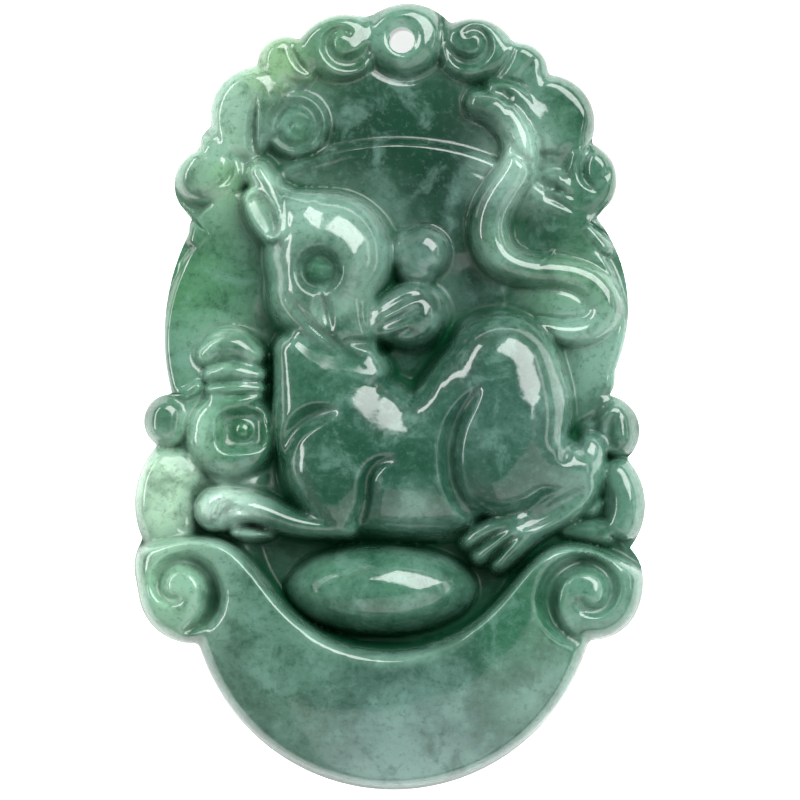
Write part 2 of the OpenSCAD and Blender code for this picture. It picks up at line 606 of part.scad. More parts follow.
function crown(q, foot, z, fullness) =
    q < 1 ? foot + (z - foot) * pow(1 - pow(q, fullness), crispness)
          : foot - (z - foot) * (q - 1) * undercut;
function form_heights(p, form) =
    [for (chain = form[CHAINS]) max([for (n = chain_near(p, chain))
        crown(n[0] / n[1], form[FOOT], n[2], form[FULLNESS])])];
function form_distance(p, form) =
    min([for (chain = form[CHAINS], n = chain_near(p, chain)) n[0] - n[1]]);
function raised(p, h, form) =
    let (w = within(0, form_distance(p, form) / form[REACH], 1),
         sunk = h - form[MOAT] * pow(1 - w * w, 2))
    smooth_max(sunk, all_smooth_max(form_heights(p, form), form[SOFTNESS]), merge);
function with_forms(p, h, i = 0) =
    i == len(FORMS) ? h :
    with_forms(p, in_box(p, FORM_BOXES[i]) ? raised(p, h, LAID_FORMS[i]) : h, i + 1);

// Grooves and hollows

function cut_depth(p, fullness, chain) =
    max([for (n = chain_near(p, chain)) n[2] * pow(max(1 - pow(n[0] / n[1], fullness), 0), 1.5)]);
function with_cuts(p, h, cuts, boxes, i = 0) =
    i == len(cuts) ? h :
    with_cuts(p, in_box(p, boxes[i]) ? h - cut_depth(p, cuts[i][0], cuts[i][1]) : h,
        cuts, boxes, i + 1);
// Groove of a scroll, which winds in towards its middle and gets shallower
function scroll_chain(s) =
    [for (i = [0 : scroll_links])
        let (t = i / scroll_links,
             angle = mix(s[SCROLL_TURN][0], s[SCROLL_TURN][1], t),
             r = mix(s[SCROLL_R][0], s[SCROLL_R][1], t),
             start = mix(scroll_start, 1, min(t / scroll_full_by, 1)))
        [s[SCROLL_X] + r * cos(angle),
         s[SCROLL_Y] * drawn_tall + r * sin(angle),
         start * mix(s[SCROLL_HALF][0], s[SCROLL_HALF][1], t),
         start * mix(s[SCROLL_DEPTH][0], s[SCROLL_DEPTH][1], t)]];

// Disc, ingot, eye and coin

function disc_height(p) =
    let (q = norm([(p[X] - disc_x) / disc_half_w, (p[Y] - disc_y) / disc_half_h]),
         floor_z = mix(disc_floor_z, disc_rim_z, eased(0.5, 1, q)),
         groove = pow(max(1 - pow((q - 0.93) / 0.03, 2), 0), 2)
                  * eased(26, 18, abs(p[X] - disc_x)) * (p[Y] > 0 ? 1 : 0))
    mix(ground_z, q < 0.95 ? floor_z : disc_rim_z, eased(1.03, 0.99, q)) - groove * disc_groove;
function ingot_height(p, edge) =
    let (beyond = norm([p[X] - bowl_x, p[Y] - bowl_y]) - bowl_r,
         t = within(0, beyond / max(beyond + edge, 0.1), 1),
         horn = p[X] < 0 ? horn_left : horn_right,
         below = horn[Y] * drawn_tall - p[Y] - min(horn[ARCH] * pow(p[X] - horn[X], 2), horn_fall),
         wall = within(0, smooth_min(below, beyond, horn_round) / ingot_round, 1))
    wall <= 0 ? 0 :
    ingot_foot_z + (lip_z - rim_fall * t * t + ingot_crown * t * (1 - t) - ingot_foot_z)
        * pow(1 - pow(1 - wall, 2), crispness);
function with_bowl(p, h) =
    let (reach = bowl_r + bowl_lap - norm([p[X] - bowl_x, p[Y] - bowl_y]),
         inside = smooth_min(reach, bowl_top_y - p[Y], notch))
    mix(h, min(h, bowl_floor_z), eased(0, bowl_wall, inside));
function with_ingot(p, h, edge) =
    let (q = norm([(p[X] - dome_x) / dome_half_w, (p[Y] - dome_y) / dome_half_h]))
    smooth_max(max(h, ingot_height(p, edge)),
        crown(q, bowl_floor_z - 1, dome_z, dome_fullness), merge);
function with_pupil(p, h) =
    smooth_max(h, crown(norm([p[X] - pupil_x, p[Y] - pupil_y]) / pupil_r,
        pupil_foot_z, pupil_z, pupil_fullness), merge);
function with_coin_hole(p, h) =
    let (off = [p[X] - coin_hole[X], p[Y] - coin_hole[Y] * drawn_tall],
         across = off * [cos(coin_hole_lean), sin(coin_hole_lean)] / coin_hole_half_w,
         along = off * [-sin(coin_hole_lean), cos(coin_hole_lean)] / coin_hole_half_h,
         q = pow(pow(across, 4) + pow(along, 4), 0.25),
         bud_q = norm([p[X] - bud[X], p[Y] - bud[Y] * drawn_tall]) / bud_r)
    smooth_max(h - coin_hole_depth * pow(max(1 - pow(q, 6), 0), 1.5),
        crown(bud_q, bud_foot_z, bud_z, 2), bud_merge);

// Height of the carved front over the back, percent of the thickness
function relief(p) =
    let (edge = depth_inside(p),
         ground = with_bowl(p, with_cuts(p, disc_height(p), LAID_HOLLOWS, HOLLOW_BOXES)),
         carved = with_cuts(p, with_forms(p, ground), LAID_CUTS, CUT_BOXES),
         body = with_coin_hole(p, with_pupil(p, carved)),
         full = with_cuts(p, with_ingot(p, body, edge), LAID_VOLUTES, VOLUTE_BOXES),
         low = min(full, wall_z),
         rolled = within(0, edge / roll_w, 1))
    low + (full - low) * sqrt(1 - pow(1 - rolled, 2));

// Plan of the carved face: a square net of cells bent to an oval, and to the outline at its border

function net_place(i, j) =
    let (s = 2 * i / columns - 1,
         t = j < foot_rows ? mix(-1, foot_t, j / foot_rows)
                           : mix(foot_t, 1, (j - foot_rows) / (rows - foot_rows)),
         a = s * sqrt(1 - t * t / 2),
         b = t * sqrt(1 - s * s / 2),
         angle = atan2(b * drawn_tall, a))
    [angle, norm([a, b])];
function net_point(i, j) =
    let (place = net_place(i, j),
         angle = place[0],
         oval = 1 / norm([cos(angle) / oval_half_w, sin(angle) / oval_half_h]),
         reach = place[1] * mix(oval, outline_reach(angle), pow(place[1], oval_hold)))
    [reach * cos(angle), reach * sin(angle)];
function net_index(i, j) = j * (columns + 1) + i;
function to_mm(p) =
    [((p[X] - low_u) / (high_u - low_u) - 0.5) * pendant_w,
     ((p[Y] - low_v) / (high_v - low_v) - 0.5) * pendant_h];
function from_mm(p) =
    [low_u + (p[X] / pendant_w + 0.5) * (high_u - low_u),
     low_v + (p[Y] / pendant_h + 0.5) * (high_v - low_v)];

// Heights of the face after one pass of smoothing over each point's eight neighbours
function beside(heights, i, j) =
    let (n = net_index(i, j), up = columns + 1)
    (own_weight * heights[n]
     + 2 * (heights[n - 1] + heights[n + 1] + heights[n - up] + heights[n + up])
     + heights[n - up - 1] + heights[n - up + 1] + heights[n + up - 1] + heights[n + up + 1])
        / (own_weight + 12);
function on_border(i, j) = i == 0 || i == columns || j == 0 || j == rows;
function smoothed(heights) =
    [for (j = [0 : rows], i = [0 : columns])
        on_border(i, j) ? heights[net_index(i, j)] : beside(heights, i, j)];
FRONT = smoothed([for (p = NET) relief(p)]);
crest = max(FRONT);
// Height in mm, stretched above the side wall so that the crest is exactly the thickness
function height_mm(z) =
    (z > wall_z ? wall_z + (z - wall_z) * (100 - wall_z) / (crest - wall_z) : z) * pendant_t / 100;

module plaque() {
    border = len(BORDER);
    face = len(NET);
    // Rings of the side and back, each as an inset from the outline and a height
    rings = [
        [0, back_round],
        [back_round * (1 - cos(45)), back_round * (1 - sin(45))],
        [back_round, 0]
    ];
    front_points = [for (n = [0 : face - 1]) concat(to_mm(NET[n]), height_mm(FRONT[n]))];
    ring_points = [for (ring = rings, p = EDGE)
        let (q = to_mm(p)) concat(q * (1 - ring[0] / norm(q)), ring[1])];
    middle = face + len(rings) * border;
    function at(ring, k) = ring == 0 ? BORDER[k % border] : face + (ring - 1) * border + k % border;
    front_faces = [for (j = [0 : rows - 1], i = [0 : columns - 1])
        let (a = net_index(i, j), b = net_index(i + 1, j),
             c = net_index(i + 1, j + 1), d = net_index(i, j + 1))
        each (i < columns / 2) == (j < rows / 2) ? [[a, c, b], [a, d, c]] : [[a, d, b], [b, d, c]]];
    side_faces = [for (ring = [0 : len(rings) - 1], k = [0 : border - 1])
        each [[at(ring, k), at(ring, k + 1), at(ring + 1, k)],
              [at(ring, k + 1), at(ring + 1, k + 1), at(ring + 1, k)]]];
    back_faces = [for (k = [0 : border - 1])
        [at(len(rings), k), at(len(rings), k + 1), middle]];
    polyhedron(
        points = concat(front_points, ring_points, [[0, 0, 0]]),
        faces = concat(front_faces, side_faces, back_faces),
        convexity = 12);
}

module cord_hole() {
    translate([hole_shift, pendant_h / 2 - hole_drop, 0]) {
        translate([0, 0, -overcut])
            cylinder(d = hole_d, h = pendant_t + 2 * overcut, $fn = hole_facets);
        translate([0, 0, -overcut])
            cylinder(
                d1 = hole_d + 2 * (hole_chamfer + overcut),
                d2 = hole_d,
                h = hole_chamfer + overcut,
                $fn = hole_facets);
    }
}

module jade_pendant() {
    color("seagreen")
        difference() {
            plaque();
            cord_hole();
        }
}

jade_pendant();
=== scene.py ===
"""Carved jade pendant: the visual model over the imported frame, in metres and the frame's axes."""
import math
import bmesh
import bpy
import numpy as np
from mathutils import Matrix, Vector


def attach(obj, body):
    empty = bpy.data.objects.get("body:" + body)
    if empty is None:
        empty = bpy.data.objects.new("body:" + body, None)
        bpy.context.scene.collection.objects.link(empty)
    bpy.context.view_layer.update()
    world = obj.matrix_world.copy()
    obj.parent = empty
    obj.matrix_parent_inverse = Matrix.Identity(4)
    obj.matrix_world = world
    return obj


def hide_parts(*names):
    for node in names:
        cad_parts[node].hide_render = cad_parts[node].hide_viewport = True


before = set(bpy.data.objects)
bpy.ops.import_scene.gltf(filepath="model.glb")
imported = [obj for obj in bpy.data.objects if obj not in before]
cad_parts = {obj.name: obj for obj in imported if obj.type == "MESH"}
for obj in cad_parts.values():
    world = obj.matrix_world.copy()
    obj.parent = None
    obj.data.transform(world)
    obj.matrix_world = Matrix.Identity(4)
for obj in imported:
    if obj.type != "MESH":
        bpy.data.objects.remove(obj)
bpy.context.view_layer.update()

# Sizes in mm, as in the part's source
PENDANT_W, PENDANT_H, PENDANT_T = 39.0, 60.0, 10.0
GROUND_T, WALL_T = 4.5, 4.6
FRONT_ROLL, BACK_ROUND = 1.0, 1.2
HOLE_D, HOLE_DROP, HOLE_SHIFT, HOLE_CHAMFER = 2.0, 2.85, 0.95, 0.3

# The carving is drawn in percent: x and widths of the width, y of the height, heights of the
# thickness. TALL turns a share of the height into one of the width.
TALL = 60.0 / 39.0
GROUND_Z = 100 * GROUND_T / PENDANT_T
WALL_Z = 100 * WALL_T / PENDANT_T
ROLL_W = 100 * FRONT_ROLL / PENDANT_W
# Exponent of a form's crown, where 1 is a cone's and 0.5 a ball's, and its fall past its edge
CRISPNESS, UNDERCUT = 0.55, 3.0
# Exponent of the sides of a groove
CUT_SIDES = 1.5
# Height over which a form joins what is behind it, and width over which two lobes join
MERGE, NOTCH = 4.0, 1.2
# A height below every form, to start from
LOWEST = -999.0
# Times that the corners of a chain are cut
CORNER_PASSES = 3
# Links in the groove of a scroll, and the share of its way and of its depth where it starts
SCROLL_LINKS, SCROLL_START, SCROLL_FIRST = 28, 0.16, 0.35
# Polish that follows a big form, and the last one over the whole face: passes, limit and
# spread of polished()
POLISH = {
    "body": ((12, 0.8, 4), (60, 2.0, 6), (160, 3.0, 8)),
    "haunch": ((12, 0.8, 4), (60, 2.0, 6)),
    "head": ((12, 0.8, 4), (60, 2.0, 6)),
}
LAST_POLISH = (12, 0.7, 5)
# Where polish gives way to a fine form, and the passes that soften this border
POLISH_HOLD, POLISH_BORDER = 1.4, 14
# Smoothing passes that show how deep a point lies in its surroundings, by attribute
HOLLOW_PASSES = {"hollow_fine": 16, "hollow_broad": 90}

# Cells of the carved face, and how many of its rows lie on the plain foot of the ingot
COLUMNS, ROWS, FOOT_ROWS, FOOT_T = 236, 350, 42, -0.62
# Half width and half height of the oval that the net follows inside, and how far out it holds
OVAL, OVAL_HOLD = (48, 76), 4
# Bands of the rounded edge of the back, and the angle from which an edge is drawn sharp
BACK_BANDS, SHARP_ANGLE = 5, 50

# Lobes of the outline: x, y, radius
LOBES = [
    [3.4, 42.8, 11], [-8.9, 42, 10.2], [-20.6, 42.4, 5.3], [-25.5, 35.8, 9.6], [-33.2, 32, 3.9],
    [-34.9, 27, 7.3], [-36.1, 21.6, 3], [-0.1, 7.8, 44], [17.7, 11.2, 28.8], [-42.8, -3.1, 5.3],
    [-33.3, -13.5, 16.6], [-41, -21.5, 9], [-38.6, -24.4, 10.6], [0.6, -24.1, 39.6],
    [5, -25.6, 33.2], [41.2, -23.1, 8.2], [39.6, -24.7, 9.4], [36.7, -13.7, 13.1], [41.7, -4.3, 7],
    [40, 2, 3.8], [36.7, 27.5, 7.6], [30.6, 34.8, 9.4], [25, 41.2, 5.9], [16.3, 42.5, 8.6],
    [1, 33, 24],
]
# The disc behind the rat: x, y, half width, half height
DISC = (1.2, 5.9, 45.0, 40.4)
# Heights of its middle and its rim, with shares of the way out: where it starts to rise, where
# the flat rim starts, and between which two it falls to the ground
DISC_Z, RIM_Z = 44, 53
DISC_RISE, RIM_START, DISC_FALL = 0.5, 0.95, (1.03, 0.99)
# Groove along the top of the rim: share of the way out, half width, depth, and the distances
# from the middle between which it fades
RIM_GROOVE, RIM_GROOVE_FADE = (0.93, 0.03, 1.4), (26, 18)
# The bowl of the ingot: x, y, radius, how far it reaches under the rim of the ingot, its upper
# end, the width of its wall and the height of its floor
BOWL = (0.0, -14.2, 27.3)
BOWL_LAP, BOWL_TOP_Y, BOWL_WALL, BOWL_Z = 1.8, -12.5, 3.0, 33
# The front of the ingot: its foot, its height along the bowl, its fall to the outline, its
# swell between them, and the width over which its edge is rounded
INGOT_FOOT, INGOT_Z, INGOT_FALL, INGOT_SWELL, INGOT_EDGE = 36, 84, 22, 8, 1.5
# Tops of its horns: x, y and fall beside them
HORNS = ((-38, -17.6, 0.018), (34.7, -18.5, 0.026))
# The most that they fall, and the width over which they join the bowl's edge
HORN_FALL, HORN_JOIN = 5, 8
# The dome in the bowl: x, y, half width, half height, foot, height, fullness
DOME = (-1.9, -24.45, 19, 9.08, 32, 79, 2.2)
# The square hole of the coin: x, y, half width, half height, lean in degrees, depth, and the
# exponents of its squareness and of its fullness
COIN_HOLE = (-29.0, -4.3, 5.0, 4.4, 3, 11)
SQUARENESS, HOLE_FULLNESS = 4, 6
# Little domes: x, y, half width, foot, height, and height over which they join the rest
COIN_BUD = (-28.7, -4.2, 2.5, 47, 58, 2)
PUPIL = (-13.6, 15.9, 3, 77, 90, MERGE)
# Raised forms from back to front: name, fullness, foot, softness between its chains, depth and
# reach of the moat round it, and chains of rounds, each x, y, half width, height
FORMS = [
    ("big left cloud", 2.4, 46, 6, 1, 1.4, [
        [[-24, 39.6, 4.8, 57], [-27.4, 38, 7.6, 63], [-28.8, 35.5, 7.6, 64],
         [-29.6, 32.5, 5.4, 61], [-29.2, 30, 3.2, 56]],
        [[-19, 40.8, 3.2, 52], [-24, 39.8, 5, 58]]]),
    ("third cloud", 2.4, 46, 4, 1, 1.2, [
        [[-21.2, 43.5, 4.8, 61], [-19.4, 42.5, 4.2, 60], [-17, 41.3, 2.6, 55]],
        [[-17.4, 44.4, 1.8, 57], [-16.6, 43, 1.6, 57], [-15.2, 41.8, 1.2, 54]]]),
    ("cloud left of the boss", 2.6, 46, 4, 1, 1.2, [
        [[-9.5, 45.2, 7.9, 62]],
        [[-13.5, 45, 4.4, 59], [-15.8, 44.5, 3.8, 57]]]),
    ("low left cloud", 2.4, 46, 5, 1, 1.2, [
        [[-35.8, 28.9, 6.9, 62], [-34, 28, 5.7, 60], [-32.4, 27.4, 4.2, 56]],
        [[-34.2, 30.6, 4, 58], [-32.8, 31.8, 2.8, 54]],
        [[-30.6, 29.8, 1.6, 56], [-30.2, 28, 1.6, 56], [-31.4, 26.6, 1.6, 55]]]),
    ("big scroll", 5, 46, 3, 1.5, 1.4, [
        [[-18.4, 34.5, 6.5, 56]]]),
    ("lobe right of the boss", 4, 46, 4, 1, 1.2, [
        [[25.5, 42.8, 5.6, 61], [23.5, 41.5, 4, 57], [21.5, 40.2, 2.6, 53]],
        [[28.5, 42, 3.6, 57], [26, 40.3, 2.6, 54]]]),
    ("cloud right of the boss", 2.6, 46, 4, 1, 1.2, [
        [[16.4, 44.8, 7.6, 62]],
        [[20, 44, 4, 58], [21, 42, 2.6, 54]]]),
    ("lower right cloud", 2.4, 46, 5, 1, 1.2, [
        [[39.8, 28.4, 6.4, 61], [39.2, 25.8, 5.2, 58], [37, 24.4, 3.4, 54]]]),
    ("upper right cloud", 5, 46, 5, 1, 1.4, [
        [[29.6, 38.3, 5, 59], [32.4, 36.2, 7.6, 63], [33.4, 34.6, 6.8, 62]]]),
    ("edge below the upper right cloud", 2.4, 46, 5, 1, 1.2, [
        [[31.6, 31.6, 1.4, 57], [33.6, 32.4, 2.2, 60], [36, 33.2, 2.8, 61]]]),
    ("ridge beside the right scroll", 2.2, 46, 4, 0.5, 1, [
        [[35, 28.6, 1, 56], [36, 30.4, 1.3, 60], [37.8, 32.4, 1.7, 60]]]),
    ("cloud strand beside the tail", 2.6, 48, 4, 1, 1, [
        [[20.4, 38.9, 2.1, 62], [23.6, 38.5, 2.6, 65], [26.6, 36.8, 2.8, 65],
         [28.8, 34.4, 2.6, 63], [30.4, 32, 2.1, 60]]]),
    ("bed of the small swirl", 2, 44, 4, 0, 1, [
        [[29.6, 29, 3.2, 51], [33.4, 27.2, 4.4, 52]],
        [[31.4, 30.4, 3.2, 53], [36, 30.8, 3.4, 54]]]),
    ("small swirl", 2.2, 48, 3, 0.5, 0.9, [
        [[31, 27.9, 1.3, 56], [33.4, 27.6, 1.8, 59], [34.9, 26.4, 1.5, 58], [34.2, 25.4, 1, 54]]]),
    ("strands on the rim", 2.2, 48, 3, 0.5, 0.8, [
        [[31, 26, 0.9, 54], [34.5, 25, 1.3, 56], [38, 23.6, 1.4, 57], [41, 22.2, 1.4, 56]],
        [[30, 24.6, 1, 54], [34, 23.4, 1.4, 56], [38, 21.6, 1.6, 57], [42, 18.8, 1.4, 55]]]),
    ("ground left of the ear", 2, 46, 4, 0, 1, [
        [[-28.6, 28.4, 2.8, 54], [-31, 27.2, 2.8, 54]]]),
    ("rim below the low left cloud", 5, 46, 4, 0, 1, [
        [[-37.6, 20.4, 2.4, 54], [-35.2, 22.4, 2.7, 54], [-31.8, 23.9, 2.6, 54],
         [-28, 24.9, 2.2, 54]]]),
    ("web beside the ribbons", 2.4, 46, 4, 0.5, 1, [
        [[-43, 0.8, 1.4, 55], [-40, 0.1, 1.6, 56], [-37.5, 1.3, 1.4, 57]]]),
    ("left ball", 2.4, 46, 3, 1, 1, [
        [[-43.9, -2.3, 4, 60], [-44.1, -4, 4, 60]]]),
    ("left cloud", 2, 46, 8, 0.5, 1.2, [
        [[-45, -10.5, 5.4, 62], [-44.6, -14, 6.2, 62], [-43, -17.4, 5.2, 57]],
        [[-44.2, -8.8, 4.2, 59], [-40.4, -9.4, 4, 55]]]),
    ("right ball", 2.4, 46, 3, 1, 1, [
        [[43.8, -3, 4.2, 60], [44.4, -5, 3.9, 60]]]),
    ("right cloud", 2.6, 46, 5, 1, 1.2, [
        [[44.6, -10.2, 3.8, 60], [46, -13.2, 4.2, 62], [45.4, -16, 3.6, 60]],
        [[34.4, -16.9, 1.6, 52], [38, -17, 2.1, 55], [42, -17.2, 2.6, 57]]]),
    ("small ball in the right cloud", 2.2, 46, 3, 1, 1, [
        [[38.8, -13.6, 2.6, 56]]]),
    ("boss", 2.8, 44, 4, 3, 2, [
        [[2.9, 45.6, 7.6, 61]]]),
    ("swell inside the loop of the tail", 2, 46, 6, 0, 1, [
        [[26.5, 12.8, 3.4, 47], [31, 12.4, 5.2, 55], [38, 11.8, 5, 57]]]),
    ("tail", 2.4, 47, 3, 1, 1.2, [
        [[17.2, 37.2, 2.8, 67], [19.8, 36.9, 3.2, 70], [22.6, 35.8, 3.5, 71],
         [24.9, 33.8, 3.6, 72], [25.9, 31.2, 3.7, 73], [24.7, 28.3, 3.9, 73],
         [21.6, 25.6, 4.1, 73], [19.6, 23, 4.2, 73], [19.4, 20, 4.2, 72], [21.6, 17.3, 3.9, 71],
         [27, 15.9, 3.4, 68], [33.4, 15.9, 3.2, 65], [38.8, 14.8, 3.5, 63], [41.8, 12.4, 3.6, 62],
         [42, 10.2, 3.3, 61], [39, 8.3, 3, 61], [34.5, 8, 2.6, 63], [29.5, 8.8, 1.9, 64]]]),
    ("nose", 2.6, 46, 3, 1, 1.2, [
        [[6.7, 18.4, 5, 65]],
        [[3, 18.4, 4, 63]],
        [[5, 16.2, 4, 62]]]),
    ("neck", 4, 60, 4, 0, 1, [
        [[-15.5, 6.4, 5.2, 79.4], [-9.5, 5.6, 5.2, 79.4]]]),
    ("body", 2.6, 52, 12, 1, 1.4, [
        [[-18.2, 5.6, 4.6, 78], [-16, 1, 6.8, 83], [-13.5, -4, 9.6, 86], [-8, -8.5, 12.6, 88]],
        [[-8, -8.5, 12.6, 88], [2, -9.4, 12.6, 91], [10, -9.2, 12.6, 90]],
        [[6, -7, 10, 90], [12, -3.4, 9.4, 90], [18.5, 2, 9.8, 90]],
        [[-12, 1.6, 7.6, 83], [-4.8, 3.2, 5.2, 82]],
        [[-9, -2.6, 9, 85], [-2.4, -3, 8.4, 85]]]),
    ("muzzle", 3, 48, 5, 1, 1.4, [
        [[4.3, 10.4, 6.6, 72], [0.8, 10, 5.2, 74], [-2.8, 9.4, 3.8, 77], [-7, 8.4, 2.4, 80]]]),
    ("hind leg", 2.4, 50, 4, 1, 1.2, [
        [[39, -6.6, 3.3, 70], [37.8, -8.6, 4.4, 76], [36.4, -11, 5.2, 78], [33.6, -13, 5, 78],
         [30.4, -14.6, 4.4, 77], [27.2, -16.2, 3.8, 75]],
        [[27.2, -16.4, 3.8, 75], [25, -18.2, 3, 74], [22.8, -20, 2.4, 71], [21.4, -21, 2, 67]],
        [[26.4, -16, 3.6, 75], [22.4, -17.6, 2.9, 74], [19.4, -19, 2.4, 71], [17.8, -20, 2, 67]],
        [[25, -15.6, 3.2, 75], [20.6, -16.4, 2.7, 73], [17.2, -17.4, 2.3, 70],
         [15.6, -18.2, 1.9, 66]]]),
    ("haunch", 2.4, 56, 8, 1, 1.4, [
        [[22.2, 3.2, 11.4, 97], [23.4, -1.6, 12.5, 100], [22.9, -5, 12.2, 100],
         [22.3, -8, 11.4, 98]],
        [[25, -7, 9.5, 95], [31, -8.6, 7, 88], [36.4, -9.2, 4.6, 80]]]),
    ("foreleg", 2.6, 60, 6, 0, 1, [
        [[-11.6, -8.8, 9, 90], [-10.6, -12.4, 7.2, 89], [-9.2, -14.6, 4.8, 85]]]),
    ("thumb", 2.4, 52, 4, 0.5, 1, [
        [[-30.2, -17, 1.2, 66], [-27.2, -17.3, 1.7, 69], [-23.8, -17, 1.4, 68]]]),
    ("forearm", 2.4, 52, 5, 1, 1.2, [
        [[-8, -16.4, 2.2, 80], [-14, -16.4, 2.3, 80], [-19, -15.8, 2.7, 81],
         [-23.6, -14.6, 3.1, 81], [-27.6, -13.9, 3.6, 82], [-31.4, -14.1, 4.4, 83],
         [-33.8, -14.3, 4.3, 80]]]),
    ("head", 2.6, 54, 10, 1.5, 1.4, [
        [[-11.9, 18, 12.4, 93]],
        [[-13, 13.5, 10.6, 91], [-10.5, 9.8, 7.8, 88], [-6.8, 7.2, 4.6, 83], [-4.2, 5.2, 2.6, 78]],
        [[-21.4, 24.4, 4, 80], [-18, 22.4, 7.6, 88]]]),
    ("ear root", 2.2, 60, 3, 0, 1, [
        [[-25.4, 28.4, 2.6, 78], [-23.4, 26.3, 2.9, 83], [-21.6, 23.6, 2.5, 88],
         [-20.9, 20.8, 1.7, 89]]]),
    ("ear", 2.8, 52, 3, 1, 1, [
        [[-25.8, 25, 3, 83], [-24, 23, 3.9, 87], [-22.3, 20.9, 3, 88]]]),
    ("coin", 5, 46, 4, 1, 1.2, [
        [[-31, -4.8, 9, 64]]]),
    ("low ribbon", 2.4, 48, 3, 0.5, 1, [
        [[-34.4, -0.2, 1.5, 61], [-31.2, -0.8, 1.8, 65], [-28, -0.5, 1.7, 65],
         [-25.6, 0.1, 1.3, 62]],
        [[-34.6, 0.9, 1.6, 62], [-31.4, 1.1, 1.8, 67], [-28.4, 1.3, 1.8, 68],
         [-25.4, 1.1, 1.4, 64]]]),
    ("middle ribbon", 2.4, 48, 4, 0.5, 1, [
        [[-34.6, 2.9, 2, 64], [-31.6, 3.4, 2.5, 69], [-28.4, 3.2, 2.6, 70], [-25.8, 2.8, 2, 66]]]),
    ("top ribbon", 2.4, 48, 5, 1, 1.2, [
        [[-35.6, 5.4, 2.5, 64], [-33, 6.8, 3.3, 69], [-29.8, 6.6, 3.6, 71],
         [-26.8, 5.2, 2.6, 67]]]),
]
